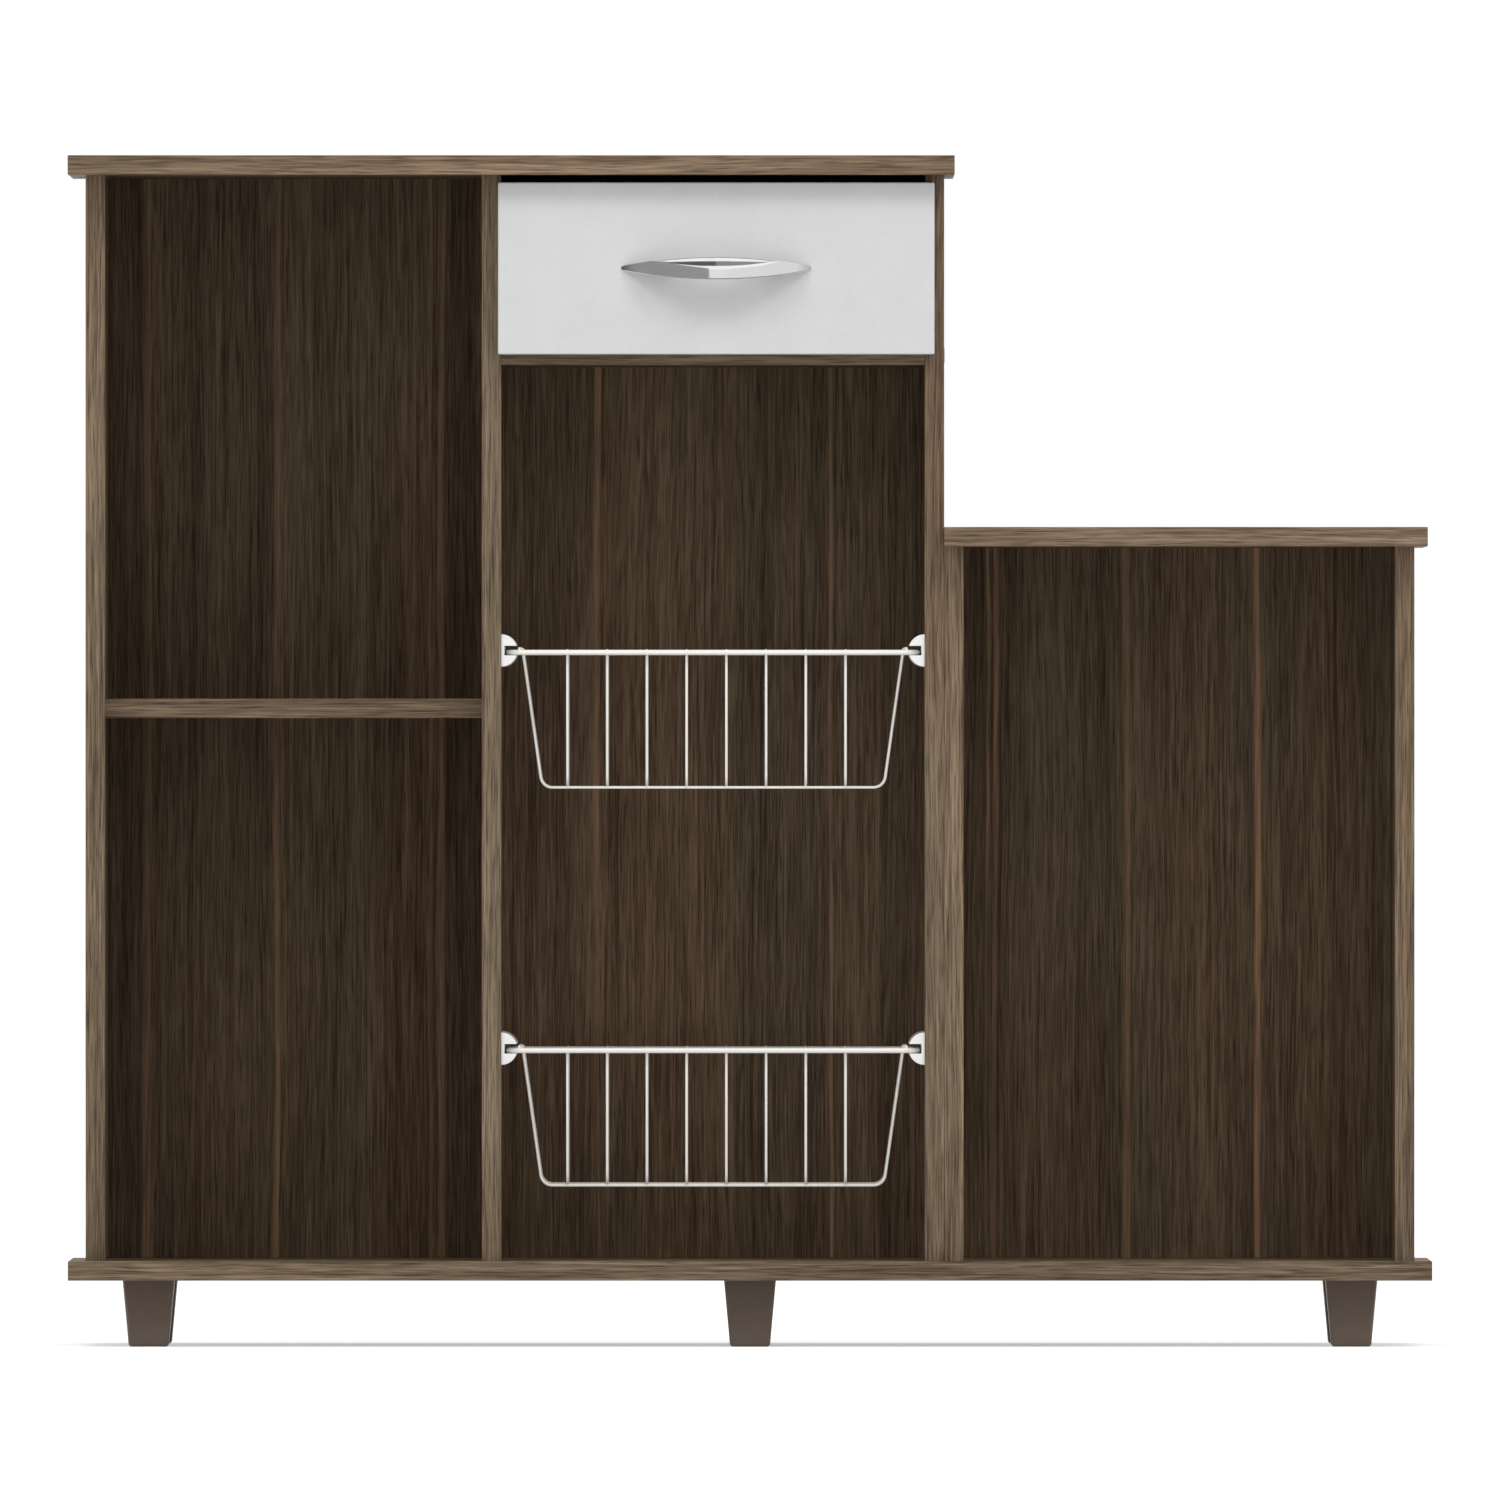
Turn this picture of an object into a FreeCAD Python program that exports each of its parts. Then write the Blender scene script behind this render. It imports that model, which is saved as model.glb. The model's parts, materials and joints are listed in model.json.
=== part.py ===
"""Open kitchen unit: a tall half with a shelf, a drawer and two sliding wire baskets, and a low
half beside it, on one base board with six moulded feet.

Millimetres. X runs to the right, Y to the back and Z up. The origin is on the floor under the
middle of the whole unit, with the drawer handle counted in its depth.
"""
import FreeCAD
import Part
import Sketcher
import math
import os

VEC = FreeCAD.Vector
SAME = 1e-6

DIMENSIONS = {
    # Boards, bays and overhangs
    "board_thickness": 15,
    "left_bay_width": 290,
    "centre_bay_width": 326,
    "right_bay_width": 332,
    "case_depth": 380,
    "tall_side_height": 836,
    "low_side_height": 550,
    "shelf_height": 418,
    "base_overhang": 13.5,
    "tall_top_left_overhang": 13.5,
    "tall_top_right_overhang": 8,
    "low_top_overhang": 10,
    "front_overhang": 32,
    "base_front_overhang": 20,
    "shelf_setback": 28,
    "edge_radius": 0.8,
    # Backs and their nails
    "back_thickness": 3,
    "back_inset": 1,
    "back_edge_margin": 3,
    "back_seam": 0.4,
    "nail_head_diameter": 4.4,
    "nail_head_height": 0.8,
    "nail_diameter": 1.6,
    "nail_length": 20,
    "nail_end_margin": 38,
    "nail_spacing": 175,
    # Board joints
    "hole_clearance": 0.2,
    "hole_end_gap": 0.5,
    "joint_inset": 45,
    "board_screw_head": 9,
    "board_screw_diameter": 4.5,
    "board_screw_length": 50,
    "dowel_diameter": 8,
    "dowel_length": 30,
    "dowel_seat": 10,
    "cam_diameter": 15,
    "cam_length": 12.4,
    "cam_distance": 34,
    "cam_bore": 7.6,
    "cam_bolt_diameter": 6,
    "cam_bolt_neck": 4,
    "cam_bolt_head": 6.6,
    "cam_bolt_head_length": 3,
    "cam_bolt_neck_length": 5,
    "cam_bolt_overrun": 2,
    "cam_bolt_seat": 10.5,
    "cam_bolt_bore": 8,
    "cap_diameter": 12,
    "cap_height": 0.4,
    "tie_head_diameter": 13,
    "tie_head_height": 1.2,
    "tie_sleeve_diameter": 8,
    "tie_sleeve_length": 24,
    "tie_bolt_diameter": 6,
    "tie_bolt_length": 20,
    "tie_nut_floor": 4,
    "lower_tie_drop": 83.4,
    "upper_tie_drop": 90,
    # Feet
    "foot_height": 51,
    "foot_top_width": 40,
    "foot_bottom_width": 31,
    "foot_corner_radius": 3,
    "foot_bottom_ease": 1.5,
    "foot_wall": 2.5,
    "foot_rib": 2,
    "foot_rib_drop": 1.5,
    "foot_end_inset": 62,
    "foot_front_inset": 44,
    "foot_boss_diameter": 17,
    "foot_driver_bore": 11,
    "foot_screw_seat": 5,
    "foot_screw_head": 9,
    "foot_screw_head_height": 2.5,
    "foot_screw_diameter": 4.2,
    "foot_screw_grip": 12,
    # Drawer box
    "drawer_top_gap": 5.7,
    "drawer_front_height": 132.4,
    "drawer_front_thickness": 15,
    "drawer_front_gap": 0.5,
    "drawer_front_radius": 1.2,
    "drawer_left_lap": 2.5,
    "drawer_right_lap": 7.5,
    "drawer_deck_lap": 7,
    "drawer_rear_gap": 36.5,
    "drawer_box_height": 95,
    "drawer_box_clearance": 8,
    "drawer_bottom_thickness": 3,
    "drawer_groove_depth": 6,
    "drawer_groove_height": 16,
    "drawer_groove_play": 0.3,
    "drawer_cam_inset": 22,
    # Handle
    "handle_length": 147,
    "handle_height": 17.6,
    "handle_projection": 28,
    "handle_reach": 18,
    "handle_foot": 31.5,
    "handle_tip": 3.2,
    "handle_facet_depth": 7,
    "handle_facet_bulge": 0.3,
    "handle_edge_radius": 0.8,
    "handle_screw_spacing": 96,
    "handle_screw_head": 8,
    "handle_screw_head_height": 2.4,
    "handle_screw_diameter": 4,
    "handle_screw_grip": 9,
    "sketch_margin": 5,
    # Roller slides
    "runner_space": 12.5,
    "runner_steel": 1.2,
    "runner_front_gap": 3,
    "runner_rear_gap": 43,
    "runner_lift": 2,
    "channel_clearance": 1.1,
    "flange_gap": 1,
    "flange_wall_gap": 3,
    "slide_lip": 12,
    "slide_front_gap": 2,
    "slide_rear_gap": 3,
    "roller_radius": 8.2,
    "roller_width": 6,
    "roller_chamfer": 0.6,
    "roller_lift": 0.3,
    "roller_end_inset": 14,
    "axle_diameter": 5,
    "axle_clearance": 0.05,
    "axle_collar_diameter": 8,
    "axle_collar_length": 1.1,
    "axle_head_length": 0.6,
    "axle_end_play": 0.1,
    "runner_screw_head": 7,
    "runner_screw_head_height": 1.5,
    "runner_screw_diameter": 3.4,
    "runner_screw_grip": 10,
    "runner_screw_inset": 62,
    # Basket guides
    "guide_radius": 12.5,
    "guide_slot_height": 7.4,
    "guide_wall": 2.5,
    "guide_edge_radius": 0.8,
    "guide_front_gap": 2,
    "guide_rear_gap": 34,
    "guide_screw_head": 6,
    "guide_screw_diameter": 3,
    "guide_screw_length": 12,
    "guide_screw_inset": 45,
    "upper_guide_height": 470,
    "lower_guide_height": 163.4,
    # Wire baskets
    "rim_wire": 4,
    "thin_wire": 2,
    "rim_side_gap": 3.5,
    "rim_corner_radius": 9,
    "rim_front_inset": 4,
    "rim_rear_inset": 6,
    "rim_clearance": 0.3,
    "weld_gap": 0.05,
    "basket_drop": 104,
    "basket_taper": 15.2,
    "basket_bend_radius": 9,
    "side_bar_gap": 0.5,
    "side_bar_overhang": 1,
    "wire_end_rise": 1.2,
    "long_wire_margin": 55.9,
    "long_wire_offset": 5,
    "cross_wire_margin": 35,
}

LONG_WIRES = 8
CROSS_WIRES = 8

PLACES = {
    # Depth
    "front_share": "dims.case_depth - dims.front_overhang + dims.drawer_front_gap",
    "back_y": "(front_share + dims.drawer_front_thickness + dims.handle_projection) / 2",
    "front_y": "back_y - dims.case_depth",
    "side_front_y": "front_y + dims.front_overhang",
    "side_depth": "dims.case_depth - dims.front_overhang - dims.back_thickness - dims.back_inset",
    "side_back_y": "side_front_y + side_depth",
    "base_y": "side_front_y - dims.base_front_overhang",
    "base_depth": "back_y - base_y",
    # Width
    "bays_width": "dims.left_bay_width + dims.centre_bay_width + dims.right_bay_width",
    "base_width": "2 * dims.base_overhang + 5 * dims.board_thickness + bays_width",
    "base_x": "-base_width / 2",
    "left_side_x": "base_x + dims.base_overhang",
    "left_bay_x": "left_side_x + dims.board_thickness",
    "divider_x": "left_bay_x + dims.left_bay_width",
    "centre_bay_x": "divider_x + dims.board_thickness",
    "tall_right_x": "centre_bay_x + dims.centre_bay_width",
    "low_left_x": "tall_right_x + dims.board_thickness",
    "right_bay_x": "low_left_x + dims.board_thickness",
    "low_right_x": "right_bay_x + dims.right_bay_width",
    "tall_top_x": "left_side_x - dims.tall_top_left_overhang",
    "tall_top_width": "low_left_x + dims.tall_top_right_overhang - tall_top_x",
    "low_top_width": "low_right_x + dims.board_thickness + dims.low_top_overhang - low_left_x",
    # Height
    "floor_z": "dims.foot_height + dims.board_thickness",
    "tall_top_z": "floor_z + dims.tall_side_height",
    "low_top_z": "floor_z + dims.low_side_height",
    "drawer_front_z": "tall_top_z - dims.drawer_top_gap - dims.drawer_front_height",
    "deck_z": "drawer_front_z + dims.drawer_deck_lap - dims.board_thickness",
    "deck_height": "deck_z - floor_z",
    "upper_tie_height": "dims.upper_guide_height - dims.upper_tie_drop",
    "lower_tie_height": "dims.lower_guide_height - dims.lower_tie_drop",
    # Drawer
    "drawer_front_x": "centre_bay_x - dims.drawer_left_lap",
    "drawer_front_width": "dims.centre_bay_width + dims.drawer_left_lap + dims.drawer_right_lap",
    "drawer_front_y": "side_front_y - dims.drawer_front_gap - dims.drawer_front_thickness",
    "box_x": "centre_bay_x + dims.runner_space",
    "box_y": "drawer_front_y + dims.drawer_front_thickness",
    "box_z": "deck_z + dims.board_thickness + dims.drawer_box_clearance",
    "box_width": "dims.centre_bay_width - 2 * dims.runner_space",
    "box_inner_width": "box_width - 2 * dims.board_thickness",
    "box_length": "side_depth + dims.drawer_front_gap - dims.drawer_rear_gap",
    "groove_height": "dims.drawer_bottom_thickness + dims.drawer_groove_play",
    "drawer_back_foot": "dims.drawer_groove_height + groove_height",
    "facet_run": "sqrt(dims.handle_facet_depth ^ 2 + dims.handle_height ^ 2 / 4)",
    # Roller slides
    "runner_y": "side_front_y + dims.runner_front_gap",
    "runner_z": "box_z + dims.runner_lift",
    "runner_length": "side_depth - dims.runner_front_gap - dims.runner_rear_gap",
    "channel_width": "dims.runner_space - dims.runner_steel - dims.channel_clearance",
    "slide_y": "box_y + dims.slide_front_gap",
    "slide_z": "box_z - dims.runner_steel",
    "slide_length": "box_length - dims.slide_front_gap - dims.slide_rear_gap",
    "axle_height": "dims.runner_steel + dims.roller_lift + dims.roller_radius",
    "flange_height": "axle_height + dims.roller_radius + dims.roller_lift",
    "channel_height": "flange_height + dims.flange_gap + 2 * dims.runner_steel",
    "slide_rise": "dims.runner_lift + dims.runner_steel",
    "slide_width": "dims.runner_space + dims.slide_lip",
    "slide_web_x": "dims.runner_space - dims.runner_steel",
    "front_roller_x": "dims.runner_steel + dims.axle_collar_length + dims.axle_end_play",
    "rear_roller_x": "slide_web_x - dims.axle_collar_length - dims.axle_end_play - dims.roller_width",
    "rear_axle_y": "slide_length - dims.roller_end_inset",
    # Basket guides and baskets
    "guide_y": "side_front_y + dims.guide_front_gap",
    "guide_length": "side_depth - dims.guide_front_gap - dims.guide_rear_gap",
    "rim_length": "guide_length - dims.rim_front_inset - dims.rim_rear_inset",
    "rim_radius": "dims.rim_wire / 2",
    "thin_radius": "dims.thin_wire / 2",
    "rail_height": "dims.basket_drop + thin_radius",
    "rail_lift": "dims.rim_clearance + rim_radius - dims.guide_slot_height / 2",
    "bar_height": "rail_height + rim_radius + thin_radius + dims.weld_gap",
    "wire_top": "rail_height + rim_radius + dims.wire_end_rise",
    "side_bar_inset": "dims.guide_radius + dims.side_bar_gap + thin_radius",
    "cross_top_x": "side_bar_inset + dims.thin_wire + dims.weld_gap",
    "long_top_y": "dims.rim_front_inset + dims.rim_wire + thin_radius + dims.weld_gap",
    "long_bottom_height": "thin_radius + dims.thin_wire + dims.weld_gap",
    "basket_middle_y": "dims.rim_front_inset + rim_length / 2",
    "long_wires_width": "dims.centre_bay_width - 2 * dims.long_wire_margin",
    "cross_wires_length": "rim_length - 2 * dims.cross_wire_margin",
    "upper_basket_z": "floor_z + dims.upper_guide_height + rail_lift - rail_height",
    "lower_basket_z": "floor_z + dims.lower_guide_height + rail_lift - rail_height",
}

doc = FreeCAD.newDocument("kitchen_unit")
sub_parts = []


def make_sheet(name, rows, formulas):
    """A sheet with a name in column A and its number or formula, under that alias, in column B."""
    sheet = doc.addObject("Spreadsheet::Sheet", name)
    for row, (alias, content) in enumerate(rows.items(), start=1):
        sheet.set(f"A{row}", alias)
        sheet.set(f"B{row}", f"={content}" if formulas else str(content))
        sheet.setAlias(f"B{row}", alias)
    doc.recompute()
    return sheet


dims = make_sheet("dims", DIMENSIONS, formulas=False)
places = make_sheet("places", PLACES, formulas=True)


def value(expression):
    """The number that an expression over the sheets comes to."""
    return float(dims.evalExpression(expression))


def place(thing, x, y, z, rotation=None):
    """Bind an object's position to three expressions and give it a fixed turn."""
    if rotation:
        thing.Placement = FreeCAD.Placement(VEC(), rotation)
    for axis, expression in zip("xyz", (x, y, z)):
        thing.setExpression(f".Placement.Base.{axis}", expression)


def new_body(label, x="0", y="0", z="0", rotation=None):
    body = doc.addObject("PartDesign::Body", label)
    body.Label = label
    place(body, x, y, z, rotation)
    return body


def keep(thing, label):
    """List an object as a sub-part of the unit, to be written to its own file."""
    thing.Label = label
    sub_parts.append(thing)
    return thing


# Directions that a master piece drawn along +Z can be turned to
UP = FreeCAD.Rotation()
TO_RIGHT = FreeCAD.Rotation(VEC(0, 0, 1), VEC(1, 0, 0))
TO_LEFT = FreeCAD.Rotation(VEC(0, 0, 1), VEC(-1, 0, 0))
TO_BACK = FreeCAD.Rotation(VEC(0, 0, 1), VEC(0, 1, 0))
TO_FRONT = FreeCAD.Rotation(VEC(0, 0, 1), VEC(0, -1, 0))
HALF_TURN_Y = FreeCAD.Rotation(VEC(0, 1, 0), 180)
HALF_TURN_Z = FreeCAD.Rotation(VEC(0, 0, 1), 180)


def new_sketch(body, role, offset="0"):
    """An empty sketch on one of the body's origin planes, moved along the plane's normal."""
    sketch = body.newObject("Sketcher::SketchObject", "sketch")
    plane = next(item for item in body.Origin.OriginFeatures if item.Role == role)
    sketch.AttachmentSupport = [(plane, "")]
    sketch.MapMode = "FlatFace"
    sketch.setExpression(".AttachmentOffset.Base.z", offset)
    return sketch


def bind(sketch, constraint, expression):
    index = sketch.addConstraint(constraint)
    sketch.setExpression(f"Constraints[{index}]", expression)


def pin(sketch, geometry, end, u, v):
    """Hold one point of a sketch at two coordinates given as expressions."""
    for kind, axis, expression in (("DistanceX", -2, u), ("DistanceY", -1, v)):
        if expression == "0":
            sketch.addConstraint(Sketcher.Constraint("PointOnObject", geometry, end, axis))
        else:
            held = Sketcher.Constraint(kind, -1, 1, geometry, end, value(expression))
            bind(sketch, held, expression)


def polygon(sketch, points):
    """A closed outline of straight lines through points given as pairs of expressions."""
    corners = [VEC(value(u), value(v), 0) for u, v in points]
    count = len(corners)
    first = sketch.GeometryCount
    for i in range(count):
        sketch.addGeometry(Part.LineSegment(corners[i], corners[(i + 1) % count]))
    for i, (u, v) in enumerate(points):
        before = first + (i - 1) % count
        sketch.addConstraint(Sketcher.Constraint("Coincident", before, 2, first + i, 1))
        pin(sketch, first + i, 1, u, v)


def rectangle(sketch, u0, v0, u1, v1):
    polygon(sketch, [(u0, v0), (u1, v0), (u1, v1), (u0, v1)])


def circles(sketch, points, diameter):
    """Circles of one diameter, centred on points given as pairs of expressions."""
    for u, v in points:
        centre = VEC(value(u), value(v), 0)
        circle = sketch.addGeometry(Part.Circle(centre, VEC(0, 0, 1), value(diameter) / 2))
        bind(sketch, Sketcher.Constraint("Diameter", circle, value(diameter)), diameter)
        pin(sketch, circle, 3, u, v)


def bow(sketch, start, crown, end):
    """An arc from start to end over its crown, each a pair of expressions."""
    points = [VEC(value(u), value(v), 0) for u, v in (start, crown, end)]
    arc = sketch.addGeometry(Part.Arc(*points))
    turns_left = (points[1] - points[0]).cross(points[2] - points[1]).z > 0
    first, last = (1, 2) if turns_left else (2, 1)
    pin(sketch, arc, first, *start)
    pin(sketch, arc, last, *end)
    top = sketch.addGeometry(Part.Point(points[1]), True)
    pin(sketch, top, 1, *crown)
    sketch.addConstraint(Sketcher.Constraint("PointOnObject", top, 1, arc))


def segment(sketch, start, end):
    """A straight line between two points given as pairs of expressions."""
    points = [VEC(value(u), value(v), 0) for u, v in (start, end)]
    line = sketch.addGeometry(Part.LineSegment(*points))
    pin(sketch, line, 1, *start)
    pin(sketch, line, 2, *end)


def rounded_path(sketch, points, radius, closed=False):
    """Lines through corner points, with a tangent arc of one radius at each bend."""
    corners = [VEC(value(u), value(v), 0) for u, v in points]
    count = len(corners)
    bends = range(count) if closed else range(1, count - 1)
    leave = list(corners)
    arrive = list(corners)
    arcs = {}
    for i in bends:
        ahead = (corners[(i + 1) % count] - corners[i]).normalize()
        behind = (corners[i - 1] - corners[i]).normalize()
        reach = value(radius) / math.tan(ahead.getAngle(behind) / 2)
        leave[i] = corners[i] + ahead * reach
        arrive[i] = corners[i] + behind * reach
        inward = (ahead + behind).normalize()
        depth = value(radius) / math.sin(ahead.getAngle(behind) / 2) - value(radius)
        arcs[i] = Part.Arc(arrive[i], corners[i] + inward * depth, leave[i])

    spans = count if closed else count - 1
    lines = []
    for i in range(spans):
        line = Part.LineSegment(leave[i], arrive[(i + 1) % count])
        lines.append(sketch.addGeometry(line))
    for i in bends:
        before, after = lines[i - 1], lines[i % spans]
        arc = sketch.addGeometry(arcs[i])
        turn = (corners[i] - corners[i - 1]).cross(corners[(i + 1) % count] - corners[i]).z
        start, end = (1, 2) if turn > 0 else (2, 1)
        sketch.addConstraint(Sketcher.Constraint("Tangent", before, 2, arc, start))
        sketch.addConstraint(Sketcher.Constraint("Tangent", after, 1, arc, end))
        bind(sketch, Sketcher.Constraint("Radius", arc, value(radius)), radius)
        corner = sketch.addGeometry(Part.Point(corners[i]), True)
        pin(sketch, corner, 1, *points[i])
        sketch.addConstraint(Sketcher.Constraint("PointOnObject", corner, 1, before))
        sketch.addConstraint(Sketcher.Constraint("PointOnObject", corner, 1, after))
    if not closed:
        pin(sketch, lines[0], 1, *points[0])
        pin(sketch, lines[-1], 2, *points[-1])


def pad(body, sketch, length, reverse=False):
    feature = body.newObject("PartDesign::Pad", "pad")
    feature.Profile = sketch
    feature.setExpression("Length", length)
    feature.Reversed = reverse
    doc.recompute()
    return feature


def pocket(body, sketch, depth, reverse=False):
    """Cut a sketch into a body; no depth means right through. The body must lose material."""
    before = body.Shape.Volume
    feature = body.newObject("PartDesign::Pocket", "pocket")
    feature.Profile = sketch
    feature.Reversed = reverse
    if depth:
        feature.setExpression("Length", depth)
    else:
        feature.Type = "ThroughAll"
    doc.recompute()
    if body.Shape.Volume > before - 1e-3:
        raise RuntimeError(f"a pocket of {body.Label} cut nothing")
    return feature


def sunk_hole(body, sketch, diameter, head, reverse=False):
    """Screw holes right through, with a 90 degree countersink at the sketch's side."""
    before = body.Shape.Volume
    doc.recompute()
    hole = body.newObject("PartDesign::Hole", "hole")
    hole.Profile = sketch
    hole.Reversed = reverse
    hole.DepthType = "ThroughAll"
    hole.HoleCutType = "Countersink"
    hole.HoleCutCustomValues = True
    hole.HoleCutCountersinkAngle = 90
    hole.setExpression("Diameter", diameter)
    hole.setExpression("HoleCutDiameter", head)
    doc.recompute()
    if body.Shape.Volume > before - 1e-3:
        raise RuntimeError(f"a hole of {body.Label} cut nothing")
    return hole


def fillet(body, chosen, radius):
    """Round the edges of the body's present shape that the test picks."""
    tip = body.Tip
    names = [f"Edge{i}" for i, edge in enumerate(tip.Shape.Edges, start=1) if chosen(edge)]
    feature = body.newObject("PartDesign::Fillet", "fillet")
    feature.Base = (tip, names)
    feature.setExpression("Radius", radius)
    doc.recompute()
    return feature


def revolve(body, sketch):
    """Turn a sketch on the XZ plane all the way round the body's Z axis."""
    feature = body.newObject("PartDesign::Revolution", "revolution")
    feature.Profile = sketch
    feature.ReferenceAxis = (sketch, ["V_Axis"])
    feature.Angle = 360
    doc.recompute()
    return feature


def turned(label, points):
    """A body turned about Z from a half profile of (radius, height) expressions."""
    body = new_body(label)
    sketch = new_sketch(body, "XZ_Plane")
    polygon(sketch, points)
    revolve(body, sketch)
    return body


def wire(body, path, diameter):
    """A round wire along a path sketch of the same body."""
    doc.recompute()
    section = body.newObject("Sketcher::SketchObject", "section")
    section.AttachmentSupport = [(path, "Edge1")]
    section.MapMode = "NormalToEdge"
    circles(section, [("0", "0")], diameter)
    doc.recompute()
    pipe = body.newObject("PartDesign::AdditivePipe", "pipe")
    pipe.Profile = section
    pipe.Spine = path
    doc.recompute()
    return pipe


def group(label, copies):
    """One sub-part of many like pieces: links to master pieces, each put in its own place."""
    links = []
    for number, (master, spot, rotation) in enumerate(copies, start=1):
        link = doc.addObject("App::Link", f"{label}_{number}")
        link.LinkedObject = master
        place(link, *spot, rotation)
        links.append(link)
    compound = doc.addObject("Part::Compound", label)
    compound.Links = links
    return keep(compound, label)


class Board:
    """A flat board drawn from its left front bottom corner, with eased edges and drilled faces.

    Face sketches use the board's own coordinates: x and y on its top and bottom, y and z on its
    left and right, x and z on its front and back.
    """

    def __init__(self, label, size, spot):
        self.size = size
        self.body = keep(new_body(label, *spot), label)
        outline = new_sketch(self.body, "XY_Plane")
        rectangle(outline, "0", "0", size[0], size[1])
        pad(self.body, outline, size[2])

    def face(self, name):
        """A sketch on one face, and whether a cut into the board runs along its normal."""
        wide, deep, high = self.size
        role, offset, reverse = {
            "bottom": ("XY_Plane", "0", True),
            "top": ("XY_Plane", high, False),
            "left": ("YZ_Plane", "0", True),
            "right": ("YZ_Plane", wide, False),
            "front": ("XZ_Plane", "0", False),
            "back": ("XZ_Plane", f"-({deep})", True),
        }[name]
        return new_sketch(self.body, role, offset), reverse

    def ease(self, faces, radius="dims.edge_radius"):
        """Round the edges that bound any of the named faces, apart from back and hidden ends."""
        limits = {
            "front": lambda p: math.isclose(p.y, 0, abs_tol=SAME),
            "back": lambda p: math.isclose(p.y, value(self.size[1]), abs_tol=SAME),
            "left": lambda p: math.isclose(p.x, 0, abs_tol=SAME),
            "right": lambda p: math.isclose(p.x, value(self.size[0]), abs_tol=SAME),
            "bottom": lambda p: math.isclose(p.z, 0, abs_tol=SAME),
            "top": lambda p: math.isclose(p.z, value(self.size[2]), abs_tol=SAME),
        }
        pairs = [[limits[name] for name in pair.split("_")] for pair in faces]

        def chosen(edge):
            middle = edge.CenterOfMass
            return any(all(test(middle) for test in pair) for pair in pairs)

        fillet(self.body, chosen, radius)

    def drill(self, face, points, diameter, depth=None):
        sketch, reverse = self.face(face)
        circles(sketch, points, f"{diameter} + dims.hole_clearance")
        pocket(self.body, sketch, f"{depth} + dims.hole_end_gap" if depth else None, reverse)

    def recess(self, face, points, diameter, depth):
        """Flat seats for the heads of bolts, cut to the heads' own depth."""
        sketch, reverse = self.face(face)
        circles(sketch, points, f"{diameter} + dims.hole_clearance")
        pocket(self.body, sketch, depth, reverse)

    def sink(self, face, points):
        """Countersunk clearance holes for board screws, heads on the named face."""
        sketch, reverse = self.face(face)
        shank = "dims.board_screw_diameter + dims.hole_clearance"
        circles(sketch, points, shank)
        sunk_hole(self.body, sketch, shank, "dims.board_screw_head + dims.hole_clearance", reverse)

    def slot(self, face, corners, depth=None):
        """A rectangular groove cut into the named face, between two corner points."""
        sketch, reverse = self.face(face)
        rectangle(sketch, *corners[0], *corners[1])
        pocket(self.body, sketch, depth, reverse)


THICK = "dims.board_thickness"
HALF = "dims.board_thickness / 2"
ROWS = ("dims.joint_inset", "places.side_depth - dims.joint_inset")
MIDDLE_ROW = "places.side_depth / 2"
SCREW_GRIP = "dims.board_screw_length - dims.board_thickness"
TALL = "dims.tall_side_height"
LOW = "dims.low_side_height"

# Uprights: left face, height, and the face that its cam locks are let into
UPRIGHTS = {
    "left_side_panel": ("places.left_side_x", TALL, "right"),
    "centre_divider": ("places.divider_x", TALL, "left"),
    "tall_right_side_panel": ("places.tall_right_x", TALL, "left"),
    "low_left_side_panel": ("places.low_left_x", LOW, "right"),
    "low_right_side_panel": ("places.low_right_x", LOW, "left"),
}
TIE_HEIGHTS = ("places.lower_tie_height", "places.upper_tie_height")
SHELF_JOINT = f"dims.shelf_height + {HALF}"
DECK_JOINT = f"places.deck_height + {HALF}"

# Where the shelf and deck screws go in: upright, face, height above the base board
SHELF_JOINTS = [
    ("left_side_panel", "left", SHELF_JOINT),
    ("centre_divider", "right", SHELF_JOINT),
    ("centre_divider", "left", DECK_JOINT),
    ("tall_right_side_panel", "right", DECK_JOINT),
]

# Nail lines: upright, distance from its left face, height of the back
NAIL_LINES = [
    ("left_side_panel", f"({THICK} + dims.back_edge_margin) / 2", TALL),
    ("centre_divider", f"{THICK} / 4", TALL),
    ("centre_divider", f"{THICK} * 3 / 4", TALL),
    ("tall_right_side_panel", f"({THICK} - dims.back_edge_margin) / 2", TALL),
    ("low_left_side_panel", f"({THICK} + dims.back_edge_margin) / 2", LOW),
    ("low_right_side_panel", f"({THICK} - dims.back_edge_margin) / 2", LOW),
]


def nail_heights(height):
    """Heights of evenly spaced nails above the base board, as near to the spacing as they go."""
    run = f"({height} - 2 * dims.nail_end_margin)"
    gaps = max(1, round(value(f"{run} / dims.nail_spacing")))
    return [f"dims.nail_end_margin + {i} * {run} / {gaps}" for i in range(gaps + 1)]


# Guide and slide screws on the walls of the centre bay: distance behind the side's front edge
GUIDE_SCREWS = [
    "dims.guide_front_gap + dims.guide_screw_inset",
    "dims.guide_front_gap + places.guide_length - dims.guide_screw_inset",
]
RUNNER_SCREWS = [
    "dims.runner_front_gap + dims.runner_screw_inset",
    "dims.runner_front_gap + places.runner_length - dims.runner_screw_inset",
]
SLIDE_SCREWS = [
    "dims.slide_front_gap + dims.runner_screw_inset",
    "dims.slide_front_gap + places.slide_length - dims.runner_screw_inset",
]
GUIDE_HEIGHTS = {"upper": "dims.upper_guide_height", "lower": "dims.lower_guide_height"}
RUNNER_SCREW_HEIGHT = "places.runner_z - places.floor_z + places.axle_height"
SLIDE_SCREW_HEIGHT = "dims.runner_lift + places.axle_height"


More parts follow.
